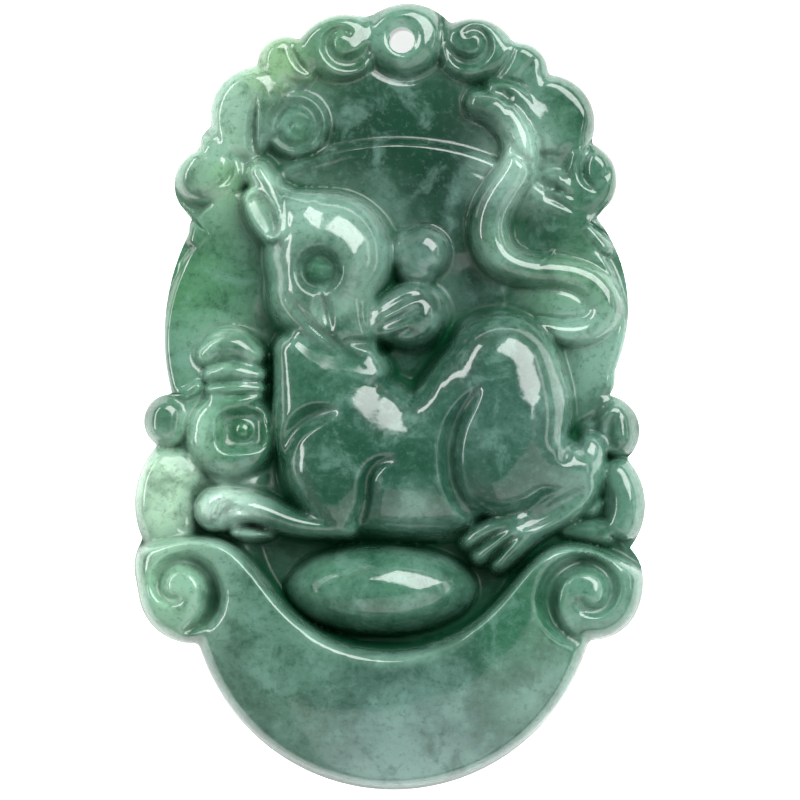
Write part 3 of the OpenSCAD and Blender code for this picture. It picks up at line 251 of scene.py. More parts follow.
# Hollows of the ground, carved before the forms are raised, and grooves, carved after:
# name, fullness and a chain of rounds, each x, y, half width, depth
HOLLOWS = [
    ("deep hollow before the haunch", 2, [[14, 13, 9, 6], [14, 8, 9, 10], [6, 2, 8, 10]]),
    ("hollow left of the chest", 2, [
        [-23.6, 12, 4, 4], [-22.8, 4, 4, 6], [-22.4, -6, 4, 6], [-22.6, -12, 4.4, 6],
        [-23, -17, 4.4, 4]]),
    ("dimple inside the loop of the tail", 2, [[25.4, 22, 5.4, 6], [28.6, 20.2, 4.4, 3]]),
]
CUTS = [
    ("mouth of the cord hole", 4, [[2.7, 45.5, 3.9, 5]]),
    ("groove beside the big left cloud", 2, [
        [-26, 38.4, 0.7, 2], [-26.6, 36.2, 1.1, 6], [-27, 33.8, 1.3, 8], [-26.8, 31.8, 1.3, 7],
        [-26, 30.6, 1, 3]]),
    ("fold of the third cloud", 2, [
        [-19.3, 45.2, 0.8, 1], [-18.6, 43.3, 1, 5], [-17.2, 41.9, 1, 5], [-15.2, 40.9, 0.7, 1]]),
    ("hook of the low left cloud", 2, [
        [-31.6, 30.6, 0.8, 1], [-30.8, 29.6, 1, 4], [-30.8, 28.4, 1, 5], [-31.8, 27.4, 0.9, 3],
        [-33.2, 26.8, 0.7, 1]]),
    ("fold of the lobe right of the boss", 2, [
        [24.4, 44.4, 0.7, 1], [23.4, 43, 0.9, 5], [21.8, 41.4, 0.9, 5], [19.8, 40.2, 0.7, 1]]),
    ("line in the lobe right of the boss", 2, [
        [29.6, 43.4, 0.7, 1], [27.6, 42.1, 0.8, 3], [25.6, 40.9, 0.8, 3], [24.8, 39.8, 0.6, 1]]),
    ("curl of the right scroll", 2, [
        [40.4, 31.8, 0.8, 1], [38.4, 30.8, 1.1, 5], [37.4, 28.9, 1.2, 7], [38, 27.3, 1.2, 6],
        [40, 26.4, 0.9, 2]]),
    ("line in the right scroll", 2, [
        [42.6, 30.2, 0.8, 1], [42.9, 28.6, 0.9, 3], [41.6, 27.4, 0.8, 1]]),
    ("hollow of the left cloud", 2, [
        [-40.6, -11.8, 1.8, 3], [-40.4, -13.8, 2.2, 5], [-40.2, -16, 1.8, 3]]),
    ("line over the left cloud", 2, [
        [-46.4, -6.2, 0.9, 2], [-43.8, -6.7, 1.1, 5], [-41.4, -6.4, 1, 3]]),
    ("hollow of the right cloud", 2, [
        [40.6, -10.2, 1.2, 2], [42.4, -12, 1.6, 4], [42.6, -14.4, 1.5, 4], [40.8, -16, 1.2, 3],
        [36.6, -15.9, 0.9, 2]]),
    ("bean on the right ball", 2, [
        [44.6, -1.6, 0.8, 1], [42.6, -3.4, 1.1, 4], [42.8, -5.6, 1.1, 4], [44.6, -6.8, 0.8, 1]]),
    ("line over the right cloud", 2, [
        [41.6, -7.9, 1, 2], [44.4, -7.9, 1.1, 3], [47.4, -7.7, 0.9, 1]]),
    ("valley beside the knee", 2, [
        [34.2, -7.6, 1.6, 4], [35.2, -5.4, 1.6, 6], [37, -3.6, 1.3, 4], [40, -2.5, 1, 3],
        [43, -0.9, 0.7, 1]]),
    ("socket of the eye", 3, [[-13.5, 16, 5.2, 13]]),
    ("groove under the eye", 2, [
        [-13, 12.4, 1.6, 4], [-12.4, 11, 2.2, 8], [-11.8, 9.4, 1.7, 5], [-11.2, 8.2, 1, 1]]),
    ("line of the cheek", 2, [
        [-19.8, 12.6, 1, 1], [-16.8, 10.4, 1.2, 4], [-13.2, 8.2, 1.3, 5], [-9.6, 6.4, 1.2, 4],
        [-7.2, 5.4, 1, 1]]),
    ("hollow of the ear", 3, [
        [-25.7, 24.8, 1.9, 9], [-24.1, 23.1, 2.8, 12], [-22.7, 21.2, 1.9, 9]]),
    ("groove over the shoulder", 2, [
        [-20, -7, 1.4, 3], [-19, -4.6, 2.4, 9], [-16.4, -2.9, 2.8, 12], [-13.2, -2, 2.4, 10],
        [-10.4, -1.8, 1.2, 2]]),
    ("groove behind the foreleg", 2, [
        [0.9, -7.7, 1.2, 2], [-2.2, -8.3, 1.6, 7], [-4.2, -9.9, 1.8, 10], [-4.4, -12.3, 1.8, 11],
        [-5, -14.8, 1.7, 9], [-7.4, -16.6, 1.4, 4]]),
    ("line behind the foreleg", 2, [
        [-1.6, -9.6, 0.8, 1], [-2.4, -11.4, 0.9, 3], [-2.6, -13.6, 0.9, 3],
        [-3.6, -15.8, 0.8, 1]]),
    ("groove before the haunch", 2, [
        [17.2, 0.9, 1.2, 2], [15.4, -0.6, 2, 8], [12.6, -3.6, 2.4, 12], [11.6, -7.2, 2.5, 13],
        [12.2, -10.8, 2.4, 13], [14.2, -13.8, 2.1, 10], [17.2, -15.6, 1.6, 5]]),
    ("upper line on the muzzle", 2, [
        [-3.6, 9.6, 1.1, 2], [-0.6, 11, 1.2, 4], [3.6, 12.6, 1.1, 3], [6.4, 12.9, 0.9, 1]]),
    ("middle line on the muzzle", 2, [
        [-2.4, 8.7, 1.2, 3], [1.6, 9.7, 1.4, 6], [5.4, 11.1, 1.1, 3]]),
    ("lower line on the muzzle", 2, [[0.6, 7.6, 1, 2], [3.8, 8.4, 1, 3]]),
    ("mouth", 2, [[-8, 6.9, 1.3, 3], [-5, 6.9, 1.4, 7], [-1, 6.2, 1.3, 5]]),
    ("hollow on the hind leg", 2, [
        [26, -16.2, 1.6, 3], [29, -15.4, 2.2, 7], [32, -14.3, 2.5, 9], [35, -13.2, 2.1, 7],
        [37, -12.2, 1.5, 3]]),
    ("gap between the first toes", 2, [
        [24.8, -17.6, 0.9, 2], [22.4, -18.8, 1.1, 6], [20.6, -20, 1.1, 7], [19.4, -21, 0.9, 4]]),
    ("gap between the last toes", 2, [
        [22.6, -16.8, 0.9, 2], [20.2, -17.7, 1.1, 6], [18, -18.6, 1.1, 7], [16.4, -19.4, 0.9, 4]]),
    ("first finger line of the paw", 2, [
        [-33.2, -17.2, 0.9, 2], [-35, -15.4, 1.2, 6], [-33.6, -13.2, 1.3, 6],
        [-30.4, -12.4, 1.2, 4], [-27.4, -13, 0.9, 1]]),
    ("second finger line of the paw", 2, [
        [-31.2, -17.2, 0.9, 2], [-32.6, -15.6, 1.2, 6], [-31.6, -14.2, 1.2, 6],
        [-29.6, -13.9, 1.1, 4], [-27.2, -14.6, 0.8, 1]]),
    ("notch over the thumb", 2, [
        [-31.4, -16.6, 0.9, 3], [-29.6, -15.9, 1.2, 8], [-27.2, -15.9, 1.2, 10],
        [-24.8, -16.6, 1.1, 8], [-22.2, -17.4, 0.8, 3]]),
    ("fold of the top ribbon", 2, [
        [-36.8, 6.6, 0.7, 1], [-34.8, 7.6, 0.8, 3], [-31.8, 7.9, 0.8, 2], [-29.6, 7.5, 0.6, 1]]),
]
# Scroll grooves of the clouds, and those at the ends of the ingot: name, middle x and y, outer
# and inner radius, first and last angle, first and last half width, first and last depth
CLOUD_SCROLLS = [
    ("ring of the big scroll", -18.4, 34.5, 4.2, 4, 215, -145, 1.6, 1.6, 5, 5),
    ("big scroll", -18.2, 34.3, 2.3, 0.7, 60, -330, 0.8, 0.5, 4, 2),
    ("scroll left of the boss", -9, 45, 4.8, 2, -10, -300, 2.3, 0.9, 10, 3),
    ("scroll right of the boss", 16, 45, 4.6, 2, 190, 480, 2.1, 0.9, 10, 3),
]
VOLUTES = [
    ("left end of the ingot", -41.3, -24.3, 8.4, 1.9, -76, 270, 2.9, 1.3, 21, 5),
    ("right end of the ingot", 38.6, -25, 9.2, 2, 256, -140, 3, 1.3, 21, 5),
]

# Looks. Colours are sRGB, 0 to 255.
STONE = (38, 76, 58)
PALE_CLOUD = (104, 140, 128)
DARK_CLOUD = (10, 54, 36)
# Painted shade for the deep hollows, and below it painted light for thin raised edges
PAINTED_HOLLOW_SHADE = (10, 60, 36)
PAINTED_RIDGE_LIGHT = (140, 182, 160)
FLOOR = (250, 250, 250)
# Weight of the stone's own colour against the tints
STONE_WEIGHT = 0.6
# Broad tints towards a colour round a spot, some of them painted shade: name, x, y, radius,
# strength, colour
TINTS = [
    ("upper left clouds", -30, 37, 10, 1.2, (154, 192, 168)),
    ("yellow green of the upper left clouds", -22, 41.5, 6, 1.6, (138, 178, 128)),
    ("left clouds", -37, 28, 9, 1.0, (146, 186, 160)),
    ("green of the low left cloud", -31, 27.5, 3.5, 2.0, (96, 146, 96)),
    # The ring of the big scroll is painted shade in its groove
    ("ring of the big scroll", -18.6, 34.8, 5.6, 14.0, (4, 46, 18)),
    ("ball of the big scroll", -18, 34.2, 2.4, 12.0, (76, 122, 94)),
    ("left of the head", -36, 14, 13, 1.0, (76, 126, 88)),
    # Painted shade on the ground beside the raised head
    ("shade beside the head", -26.5, 15, 5, 2.4, (20, 72, 48)),
    ("upper field", 0, 30, 22, 2.1, (12, 38, 28)),
    ("boss", 3, 45.5, 6, 2.4, (106, 148, 128)),
    ("cloud left of the boss", -11.5, 44.5, 6, 1.6, (112, 158, 126)),
    ("clouds right of the boss", 24, 42, 9, 0.7, (72, 112, 90)),
    ("right clouds", 36, 30, 9, 0.9, (70, 112, 90)),
    # Painted shade on the low ground right of the head and left of the tail, and in the dimple
    # inside the loop of the tail
    ("field right of the head", 12, 16, 12, 2.2, (12, 44, 34)),
    ("field left of the tail", 13, 28, 7, 4.0, (8, 36, 26)),
    ("inside the loop of the tail", 28.5, 20.5, 4, 3.0, (16, 62, 44)),
    ("head", -13, 18, 11, 2.1, (148, 190, 170)),
    # The ring of the eye is painted shade in its socket
    ("ring of the eye", -13.4, 16, 4.6, 20.0, (8, 46, 28)),
    ("pupil", -13.6, 15.9, 1.6, 50.0, (48, 94, 70)),
    ("tail", 24, 29.5, 6.5, 2.4, (170, 208, 192)),
    ("bend of the tail", 21, 19, 5, 1.2, (130, 172, 148)),
    ("low tail", 34, 14, 8, 0.8, (108, 150, 122)),
    ("right of the disc", 40, 6, 9, 1.1, (128, 164, 146)),
    ("chest", -15, 2, 9, 1.0, (50, 90, 72)),
    ("body", 0, -6, 14, 1.4, (30, 66, 54)),
    ("haunch", 24, -2, 13, 1.5, (50, 82, 74)),
    ("coin", -31, -2, 9, 0.9, (82, 130, 102)),
    ("left edge of the coin", -37, -4, 4, 1.5, (146, 188, 164)),
    ("ribbons", -32, 5.4, 6, 1.3, (136, 176, 156)),
    # The square of the coin is painted shade in its recessed hole
    ("square of the coin", -29, -4.3, 3.6, 6.0, (36, 92, 58)),
    ("left rim", -46.5, -12, 7, 1.9, (176, 210, 182)),
    ("right rim", 44, -12, 8, 0.8, (92, 134, 116)),
    ("paw", -32.5, -14, 5, 2.4, (176, 206, 190)),
    ("left volute", -42, -24, 9, 1.3, (140, 184, 154)),
    ("right volute", 40, -25, 9, 1.0, (90, 132, 112)),
    ("dome", -2, -25, 9, 0.9, (76, 122, 100)),
    ("left of the dome", -15, -24, 6, 1.2, (92, 138, 114)),
    ("ear", -25, 26, 4, 1.6, (150, 190, 166)),
    ("crescent left", -22, -34, 14, 1.4, (86, 120, 106)),
    ("crescent middle", 2, -40, 14, 1.4, (46, 70, 66)),
    ("green of the crescent", 28, -30.5, 7, 2.0, (40, 92, 66)),
    ("crescent right", 30, -38, 7, 1.4, (112, 150, 138)),
    ("foot of the crescent", 4, -50, 13, 1.4, (134, 166, 160)),
]
# Spots of painted shade on the reflections, where the mirror is cut: name, x, y, radius, lost share
# of the mirror
REFLECTION_SHADE_SPOTS = [
    ("under the chin", -14, 5.4, 2.6, 0.9),
    ("below the muzzle", -8.5, 4.4, 3.6, 0.95),
    ("eye", -13.4, 16, 4.8, 0.93),
    ("big scroll", -18.4, 34.5, 6.8, 0.85),
    ("edge below the tail", 22.2, 12.9, 2.4, 0.9),
    ("corner of the low left cloud", -36.4, 22.2, 3.2, 0.8),
    ("top of the left cloud", -42, -9.8, 4.0, 0.7),
    ("left end of the dome", -14, -23, 4.5, 0.8),
    ("hollow of the ear", -24.1, 23.1, 3.4, 0.5),
]
# Noises in the stone: scale per mm, detail, distortion, roughness
NOISES = {
    "cloudy": (0.12, 3, 0.6, 0.5),
    "patchy": (0.4, 5, 0.4, 0.6),
    "grain": (2.0, 5, 0.2, 0.75),
    "waves": (0.8, 2, 0.0, 0.5),
}
# Clouds in the stone: noise, the values where they begin and are full, strength, colour
CLOUDS = [
    ("cloudy", 0.5, 0.66, 0.3, PALE_CLOUD),
    ("cloudy", 0.5, 0.34, 0.35, DARK_CLOUD),
    ("patchy", 0.5, 0.68, 0.35, PALE_CLOUD),
    ("patchy", 0.5, 0.32, 0.5, DARK_CLOUD),
    ("grain", 0.5, 0.75, 0.22, PALE_CLOUD),
    ("grain", 0.5, 0.3, 0.45, DARK_CLOUD),
]
# Smooth steps of the looks: from, to, first and last result. How dark painted shade makes the
# hollows and how pale painted light makes the ridges, by the depth of hollows in mm, then roughness
# and painted shade on the mirror.
SHADE_BY_FINE = (0.05, 0.7, 0, 0.3)
SHADE_BY_BROAD = (0.1, 1.8, 0, 0.65)
RIDGE_LIGHT_BY_FINE = (-0.08, -0.6, 0, 0.12)
ROUGH_BY_GRAIN = (0.3, 0.7, 0.07, 0.13)
ROUGH_BY_FINE = (0, 0.25, 0, 0.22)
REFLECTION_SHADE_BY_BROAD = (0.3, 1.5, 0.5, 0.12)
# Ripples of the polish, and the share of the grain in them
RIPPLES, RIPPLE_GRAIN = {"Strength": 0.12, "Distance": 0.0002}, 0.12
SHADER = {"IOR": 1.6, "Subsurface Weight": 0.25, "Subsurface Scale": 0.0007,
          "Subsurface Radius": (0.45, 1.0, 0.7)}
# Softboxes: name, azimuth from +X, elevation, distance, width, height, watts
LIGHTS = [
    ("key", 52, 49, 0.45, 0.42, 0.34, 3.9),
    ("left strip", 160, 27, 0.42, 0.46, 0.09, 1.2),
    ("right strip", 8, 24, 0.42, 0.30, 0.06, 0.15),
    ("low fill", -66, 42, 0.6, 0.85, 0.62, 1.8),
]
# Strength of the walls and of the ceiling of the studio, and the heights of a direction
# between which one turns into the other
WORLD, CEILING = (0.56, 0.12), (0.55, 0.95)
# Half width of the floor and how far it lies under the pendant, in metres, roughness, glow
FLOOR_HALF, FLOOR_DROP, FLOOR_ROUGHNESS, FLOOR_GLOW = 3.0, 0.00002, 0.9, 0.8
# Lean of the camera to +X in degrees, and what it looks at in mm
CAMERA_LEAN = 1.5
CAMERA_AIM = (0.8, -0.27, 4.6)
# Lens and sensor in mm, and near and far end of the view in metres
LENS, SENSOR, CLIP = 300, 36, (0.05, 10)
# The photograph's 800 pixels, at the height of the outline, where 511 are the pendant's width
VIEW_W = PENDANT_W / 511 * 800 / 1000


def smooth_max(a, b, k):
    """The greater of two heights, with the crease where they meet rounded over k."""
    g = np.maximum(k - np.abs(a - b), 0) / k
    return np.maximum(a, b) + g * g * k / 4


def smooth_min(a, b, k):
    return -smooth_max(-a, -b, k)


def eased(low, high, value):
    """A smooth step from 0 at low to 1 at high."""
    t = np.clip((value - low) / (high - low), 0, 1)
    return t * t * (3 - 2 * t)


def far_from(u, v, x, y):
    """Distance from a point of the drawing."""
    return np.hypot(u - x, v - y * TALL)


def laid(chain):
    """A chain with its corners cut, so that it runs in a smooth line."""
    rows = [np.array([x, y * TALL, half, z], float) for x, y, half, z in chain]
    for _ in range(CORNER_PASSES if len(rows) > 2 else 0):
        cut = [rows[0]]
        for a, b in zip(rows[:-1], rows[1:]):
            cut += [0.75 * a + 0.25 * b, 0.25 * a + 0.75 * b]
        rows = cut + [rows[-1]]
    return rows


def links(rows):
    return [(rows[0], rows[0])] if len(rows) == 1 else list(zip(rows[:-1], rows[1:]))


def link_near(u, v, a, b):
    """Distance from the nearest point of a link, and the half width and height there."""
    way_u, way_v = b[0] - a[0], b[1] - a[1]
    length_2 = way_u ** 2 + way_v ** 2
    t = np.zeros_like(u)
    if length_2 > 0:
        t = np.clip(((u - a[0]) * way_u + (v - a[1]) * way_v) / length_2, 0, 1)
    distance = np.hypot(u - a[0] - way_u * t, v - a[1] - way_v * t)
    return distance, a[2] + (b[2] - a[2]) * t, a[3] + (b[3] - a[3]) * t


def in_box(u, v, chains, margin):
    rows = np.array([row for rows in chains for row in rows])
    low = (rows[:, :2] - rows[:, 2:3]).min(0) - margin
    high = (rows[:, :2] + rows[:, 2:3]).max(0) + margin
    return (u > low[0]) & (u < high[0]) & (v > low[1]) & (v < high[1])


def crown(q, foot, z, fullness):
    """Height at the share q of the way from the middle of a form to its edge."""
    inside = foot + (z - foot) * np.maximum(1 - q ** fullness, 0) ** CRISPNESS
    return np.where(q < 1, inside, foot - (z - foot) * (q - 1) * UNDERCUT)


def raise_form(h, u, v, fullness, foot, softness, moat, reach, chains):
    chains = [laid(chain) for chain in chains]
    near = in_box(u, v, chains, max(reach, 1))
    uu, vv = u[near], v[near]
    height, gap = None, np.full(uu.shape, np.inf)
    for rows in chains:
        top = np.full(uu.shape, LOWEST)
        for a, b in links(rows):
            distance, half, z = link_near(uu, vv, a, b)
            top = np.maximum(top, crown(distance / half, foot, z, fullness))
            gap = np.minimum(gap, distance - half)
        height = top if height is None else smooth_max(height, top, softness)
    share = np.clip(gap / reach, 0, 1)
    h[near] = smooth_max(h[near] - moat * (1 - share ** 2) ** 2, height, MERGE)


def groove(q, depth, fullness):
    return depth * np.maximum(1 - q ** fullness, 0) ** CUT_SIDES


def carve(h, u, v, fullness, rows):
    near = in_box(u, v, [rows], 0)
    uu, vv = u[near], v[near]
    depth = np.zeros_like(uu)
    for a, b in links(rows):
        distance, half, deep = link_near(uu, vv, a, b)
        depth = np.maximum(depth, groove(distance / half, deep, fullness))
    h[near] -= depth


def scroll_rows(x, y, outer_r, inner_r, first, last, half_0, half_1, deep_0, deep_1):
    """Groove of a scroll, which winds in towards its middle and gets shallower."""
    rows = []
    for i in range(SCROLL_LINKS + 1):
        t = i / SCROLL_LINKS
        start = SCROLL_FIRST + (1 - SCROLL_FIRST) * min(t / SCROLL_START, 1)
        angle = math.radians(first + (last - first) * t)
        r = outer_r + (inner_r - outer_r) * t
        rows.append([x + r * math.cos(angle), y * TALL + r * math.sin(angle),
                     start * (half_0 + (half_1 - half_0) * t),
                     start * (deep_0 + (deep_1 - deep_0) * t)])
    return rows


def depth_inside(u, v):
    """Distance from the outline, positive inside it."""
    depth = np.full(u.shape, LOWEST)
    for x, y, r in LOBES:
        depth = smooth_max(depth, r - far_from(u, v, x, y), NOTCH)
    return depth


def outline_reach(angle):
    """Distance of the outline from the middle, at an angle."""
    reach = np.full(angle.shape, LOWEST)
    for x, y, r in LOBES:
        along = x * np.cos(angle) + y * TALL * np.sin(angle)
        aside = x * np.sin(angle) - y * TALL * np.cos(angle)
        rest = r * r - aside ** 2
        crossing = np.where(rest > 0, along + np.sqrt(np.maximum(rest, 0)), 0)
        reach = smooth_max(reach, crossing, NOTCH)
    return reach


def disc_height(u, v):
    x, y, half_w, half_h = DISC
    q = np.hypot((u - x) / half_w, (v - y * TALL) / half_h)
    middle = DISC_Z + (RIM_Z - DISC_Z) * eased(DISC_RISE, 1.0, q)
    flat = np.where(q < RIM_START, middle, RIM_Z)
    place, half, depth = RIM_GROOVE
    line = np.maximum(1 - ((q - place) / half) ** 2, 0) ** 2
    line *= eased(*RIM_GROOVE_FADE, np.abs(u - x)) * (v > 0)
    return GROUND_Z + (flat - GROUND_Z) * eased(*DISC_FALL, q) - depth * line


def add_bowl(h, u, v):
    x, y, r = BOWL
    inside = r + BOWL_LAP - far_from(u, v, x, y)
    hollow = eased(0, BOWL_WALL, smooth_min(inside, BOWL_TOP_Y * TALL - v, NOTCH))
    return h + (np.minimum(h, BOWL_Z) - h) * hollow


def add_ingot(h, u, v):
    """The front of the ingot with its horns, and the dome in its bowl."""
    x, y, r = BOWL
    beyond = far_from(u, v, x, y) - r
    t = np.clip(beyond / np.maximum(beyond + depth_inside(u, v), 0.1), 0, 1)
    top = INGOT_Z - INGOT_FALL * t * t + INGOT_SWELL * t * (1 - t)
    horn_x, horn_y, arch = (np.where(u < 0, a, b) for a, b in zip(*HORNS))
    below = horn_y * TALL - v - np.minimum(arch * (u - horn_x) ** 2, HORN_FALL)
    wall = np.clip(smooth_min(below, beyond, HORN_JOIN) / INGOT_EDGE, 0, 1)
    front = INGOT_FOOT + (top - INGOT_FOOT) * (1 - (1 - wall) ** 2) ** CRISPNESS
    h = np.maximum(h, np.where(wall > 0, front, 0))
    x, y, half_w, half_h, foot, z, fullness = DOME
    q = np.hypot((u - x) / half_w, (v - y * TALL) / half_h)
    return smooth_max(h, crown(q, foot, z, fullness), MERGE)


def add_little_dome(h, u, v, x, y, half, foot, z, join):
    return smooth_max(h, crown(far_from(u, v, x, y) / half, foot, z, 2), join)


def cut_coin_hole(h, u, v):
    x, y, half_w, half_h, lean, depth = COIN_HOLE
    lean = math.radians(lean)
    du, dv = u - x, v - y * TALL
    across = (du * math.cos(lean) + dv * math.sin(lean)) / half_w
    along = (dv * math.cos(lean) - du * math.sin(lean)) / half_h
    q = (across ** SQUARENESS + along ** SQUARENESS) ** (1 / SQUARENESS)
    return h - groove(q, depth, HOLE_FULLNESS)


def relief(u, v):
    """Height of the carved front over the back, percent of the thickness."""
    h = disc_height(u, v)
    for _, fullness, chain in HOLLOWS:
        carve(h, u, v, fullness, laid(chain))
    h = add_bowl(h, u, v)
    for name, *numbers, chains in FORMS:
        raise_form(h, u, v, *numbers, chains)
        for passes, limit, spread in POLISH.get(name, ()):
            h = polished(h, passes, limit, spread)
    for _, fullness, chain in CUTS:
        carve(h, u, v, fullness, laid(chain))
    for _, *numbers in CLOUD_SCROLLS:
        carve(h, u, v, 2, scroll_rows(*numbers))
    h = add_little_dome(h, u, v, *PUPIL)
    h = cut_coin_hole(h, u, v)
    h = add_little_dome(h, u, v, *COIN_BUD)
    h = add_ingot(h, u, v)
    for _, *numbers in VOLUTES:
        carve(h, u, v, 2, scroll_rows(*numbers))
    rolled = np.clip(depth_inside(u, v) / ROLL_W, 0, 1)
    low = np.minimum(h, WALL_Z)
    return low + (h - low) * np.sqrt(1 - (1 - rolled) ** 2)


def blurred(grid, passes):
    """The grid after so many passes of smoothing over each point's neighbours."""
    for _ in range(passes):
        p = np.pad(grid, 1, mode="edge")
        p = (p[:-2] + 2 * p[1:-1] + p[2:]) / 4
        grid = (p[:, :-2] + 2 * p[:, 1:-1] + p[:, 2:]) / 4
    return grid


def neighbours_max(grid):
    p = np.pad(grid, 1, mode="edge")
    p = np.maximum(np.maximum(p[:-2], p[1:-1]), p[2:])
    return np.maximum(np.maximum(p[:, :-2], p[:, 1:-1]), p[:, 2:])


def polished(h, passes, limit, spread):
    """Heights smoothed over wide plain forms, and kept as they are on and beside fine ones."""
    wide = blurred(h, passes)
    uneven = np.abs(h - wide)
    for _ in range(spread):
        uneven = neighbours_max(uneven)
    share = blurred(np.clip(POLISH_HOLD - uneven / limit, 0, 1), POLISH_BORDER)
    return h + (wide - h) * share


# The mesh

def face_net():
    """Places of the face's net in percent: a square bent to an oval, and at its border to the
    outline."""
    s = 2 * np.arange(COLUMNS + 1) / COLUMNS - 1
    foot = FOOT_T + (-1 - FOOT_T) * (1 - np.arange(FOOT_ROWS) / FOOT_ROWS)
    rest = FOOT_T + (1 - FOOT_T) * np.arange(ROWS - FOOT_ROWS + 1) / (ROWS - FOOT_ROWS)
    s, t = np.meshgrid(s, np.concatenate([foot, rest]))
    a, b = s * np.sqrt(1 - t * t / 2), t * np.sqrt(1 - s * s / 2)
    angle, share = np.arctan2(b * TALL, a), np.hypot(a, b)
    oval = 1 / np.hypot(np.cos(angle) / OVAL[0], np.sin(angle) / OVAL[1])
    reach = share * (oval + (outline_reach(angle) - oval) * share ** OVAL_HOLD)
    return reach * np.cos(angle), reach * np.sin(angle)


def border_loop():
    """Numbers of the net's border points, anticlockwise."""
    across, up = np.arange(COLUMNS), np.arange(ROWS) * (COLUMNS + 1)
    last = ROWS * (COLUMNS + 1) + COLUMNS
    return np.concatenate([across, COLUMNS + up, last - across, last - COLUMNS - up])


def face_heights(u, v):
    """Heights of the face in mm, stretched above the side wall to the full thickness."""
    h = relief(u, v)
    soft = polished(blurred(h, 1), *LAST_POLISH)
    soft[[0, -1], :] = h[[0, -1], :]
    soft[:, [0, -1]] = h[:, [0, -1]]
    lifted = WALL_Z + (soft - WALL_Z) * (100 - WALL_Z) / (soft.max() - WALL_Z)
    return np.where(soft > WALL_Z, lifted, soft) * PENDANT_T / 100


def stretched(values, edge, size):
    return ((values.ravel() - edge.min()) / (edge.max() - edge.min()) - 0.5) * size


def face_points(loop):
    """Points of the face in mm, and how deep each lies, by attribute."""
    u, v = face_net()
    z = face_heights(u, v)
    x = stretched(u, u.ravel()[loop], PENDANT_W)
    y = stretched(v, v.ravel()[loop], PENDANT_H)
    hollows = {name: (blurred(z, passes) - z).ravel() for name, passes in HOLLOW_PASSES.items()}
    return np.column_stack([x, y, z.ravel()]), hollows


def face_quads(face, hole):
    """Quads of the face, without those over the cord hole."""
    i, j = np.meshgrid(np.arange(COLUMNS), np.arange(ROWS))
    a = (j * (COLUMNS + 1) + i).ravel()
    quads = np.column_stack([a, a + 1, a + COLUMNS + 2, a + COLUMNS + 1])
    in_hole = np.hypot(face[:, 0] - hole[0], face[:, 1] - hole[1]) < HOLE_D / 2
    return quads[in_hole[quads].sum(1) < 3]


def back_rings(rim):
    """Rings of points below the rim, from the side wall round the edge of the back."""
    rings = []
    for k in range(BACK_BANDS + 1):
        turn = math.radians(90 * k / BACK_BANDS)
        inset = BACK_ROUND * (1 - math.cos(turn))
        ring = rim[:, :2] * (1 - inset / np.hypot(rim[:, 0], rim[:, 1]))[:, None]
        rings.append(np.column_stack([ring, np.full(len(rim), BACK_ROUND * (1 - math.sin(turn)))]))
    return rings


def band_quads(loop, start):
    """Quads of the bands between the face's border and the rings, whose points begin at start."""
    k = np.arange(len(loop))
    after = (k + 1) % len(loop)
    upper, bands = loop, []
    for band in range(BACK_BANDS + 1):
        lower = start + band * len(loop) + k
        bands.append(np.column_stack([lower, lower[after], upper[after], upper]))
        upper = lower
    return bands


def drill(mesh, hole):
    """Round the gap that the net leaves at the cord hole, line the hole and close the back."""
    bm = bmesh.new()
    bm.from_mesh(mesh)
    bmesh.ops.delete(bm, geom=[p for p in bm.verts if not p.link_faces], context="VERTS")
    centre = Vector(hole) / 1000

    def turn(p):
        return math.atan2(p.co.y - centre.y, p.co.x - centre.x)

    def beside(p, r):
        return (centre.x + r / 1000 * math.cos(turn(p)), centre.y + r / 1000 * math.sin(turn(p)))

    ends = {p for e in bm.edges if e.is_boundary for p in e.verts}
    upper = sorted((p for p in ends if p.co.z > BACK_ROUND / 1000), key=turn)
    for p in upper:
        p.co.xy = beside(p, HOLE_D / 2)
    for r, z in ((HOLE_D / 2, HOLE_CHAMFER), (HOLE_D / 2 + HOLE_CHAMFER, 0)):
        lower = [bm.verts.new((*beside(p, r), z / 1000)) for p in upper]
        for k in range(len(upper)):
            n = (k + 1) % len(upper)
            bm.faces.new((upper[k], upper[n], lower[n], lower[k]))
        upper = lower
    back = [e for e in bm.edges if e.is_boundary]
    bmesh.ops.triangle_fill(bm, use_beauty=True, edges=back, normal=(0, 0, -1))
    bmesh.ops.recalc_face_normals(bm, faces=bm.faces)
    bm.to_mesh(mesh)
    bm.free()


def pendant_mesh():
    loop = border_loop()
    face, hollows = face_points(loop)
    hole = (HOLE_SHIFT, PENDANT_H / 2 - HOLE_DROP)
    points = np.vstack([face, *back_rings(face[loop])])
    quads = np.vstack([face_quads(face, hole), *band_quads(loop, len(face))])
    mesh = bpy.data.meshes.new("jade_carving")
    mesh.from_pydata((points / 1000).tolist(), [], quads.tolist())
    for name, values in hollows.items():
        values = np.concatenate([values, np.tile(values[loop], BACK_BANDS + 1)])
        layer = mesh.attributes.new(name, "FLOAT", "POINT")
        layer.data.foreach_set("value", values.astype(np.float32))
    drill(mesh, hole)
    mesh.shade_smooth()
    mesh.set_sharp_from_angle(angle=math.radians(SHARP_ANGLE))
    return mesh


# Colour

def linear(r, g, b):
    """sRGB 0 to 255 as linear values."""
    return [((c / 255 + 0.055) / 1.055) ** 2.4 if c > 10 else c / 255 / 12.92 for c in (r, g, b)]


def rgba(r, g, b):
    return (*linear(r, g, b), 1.0)


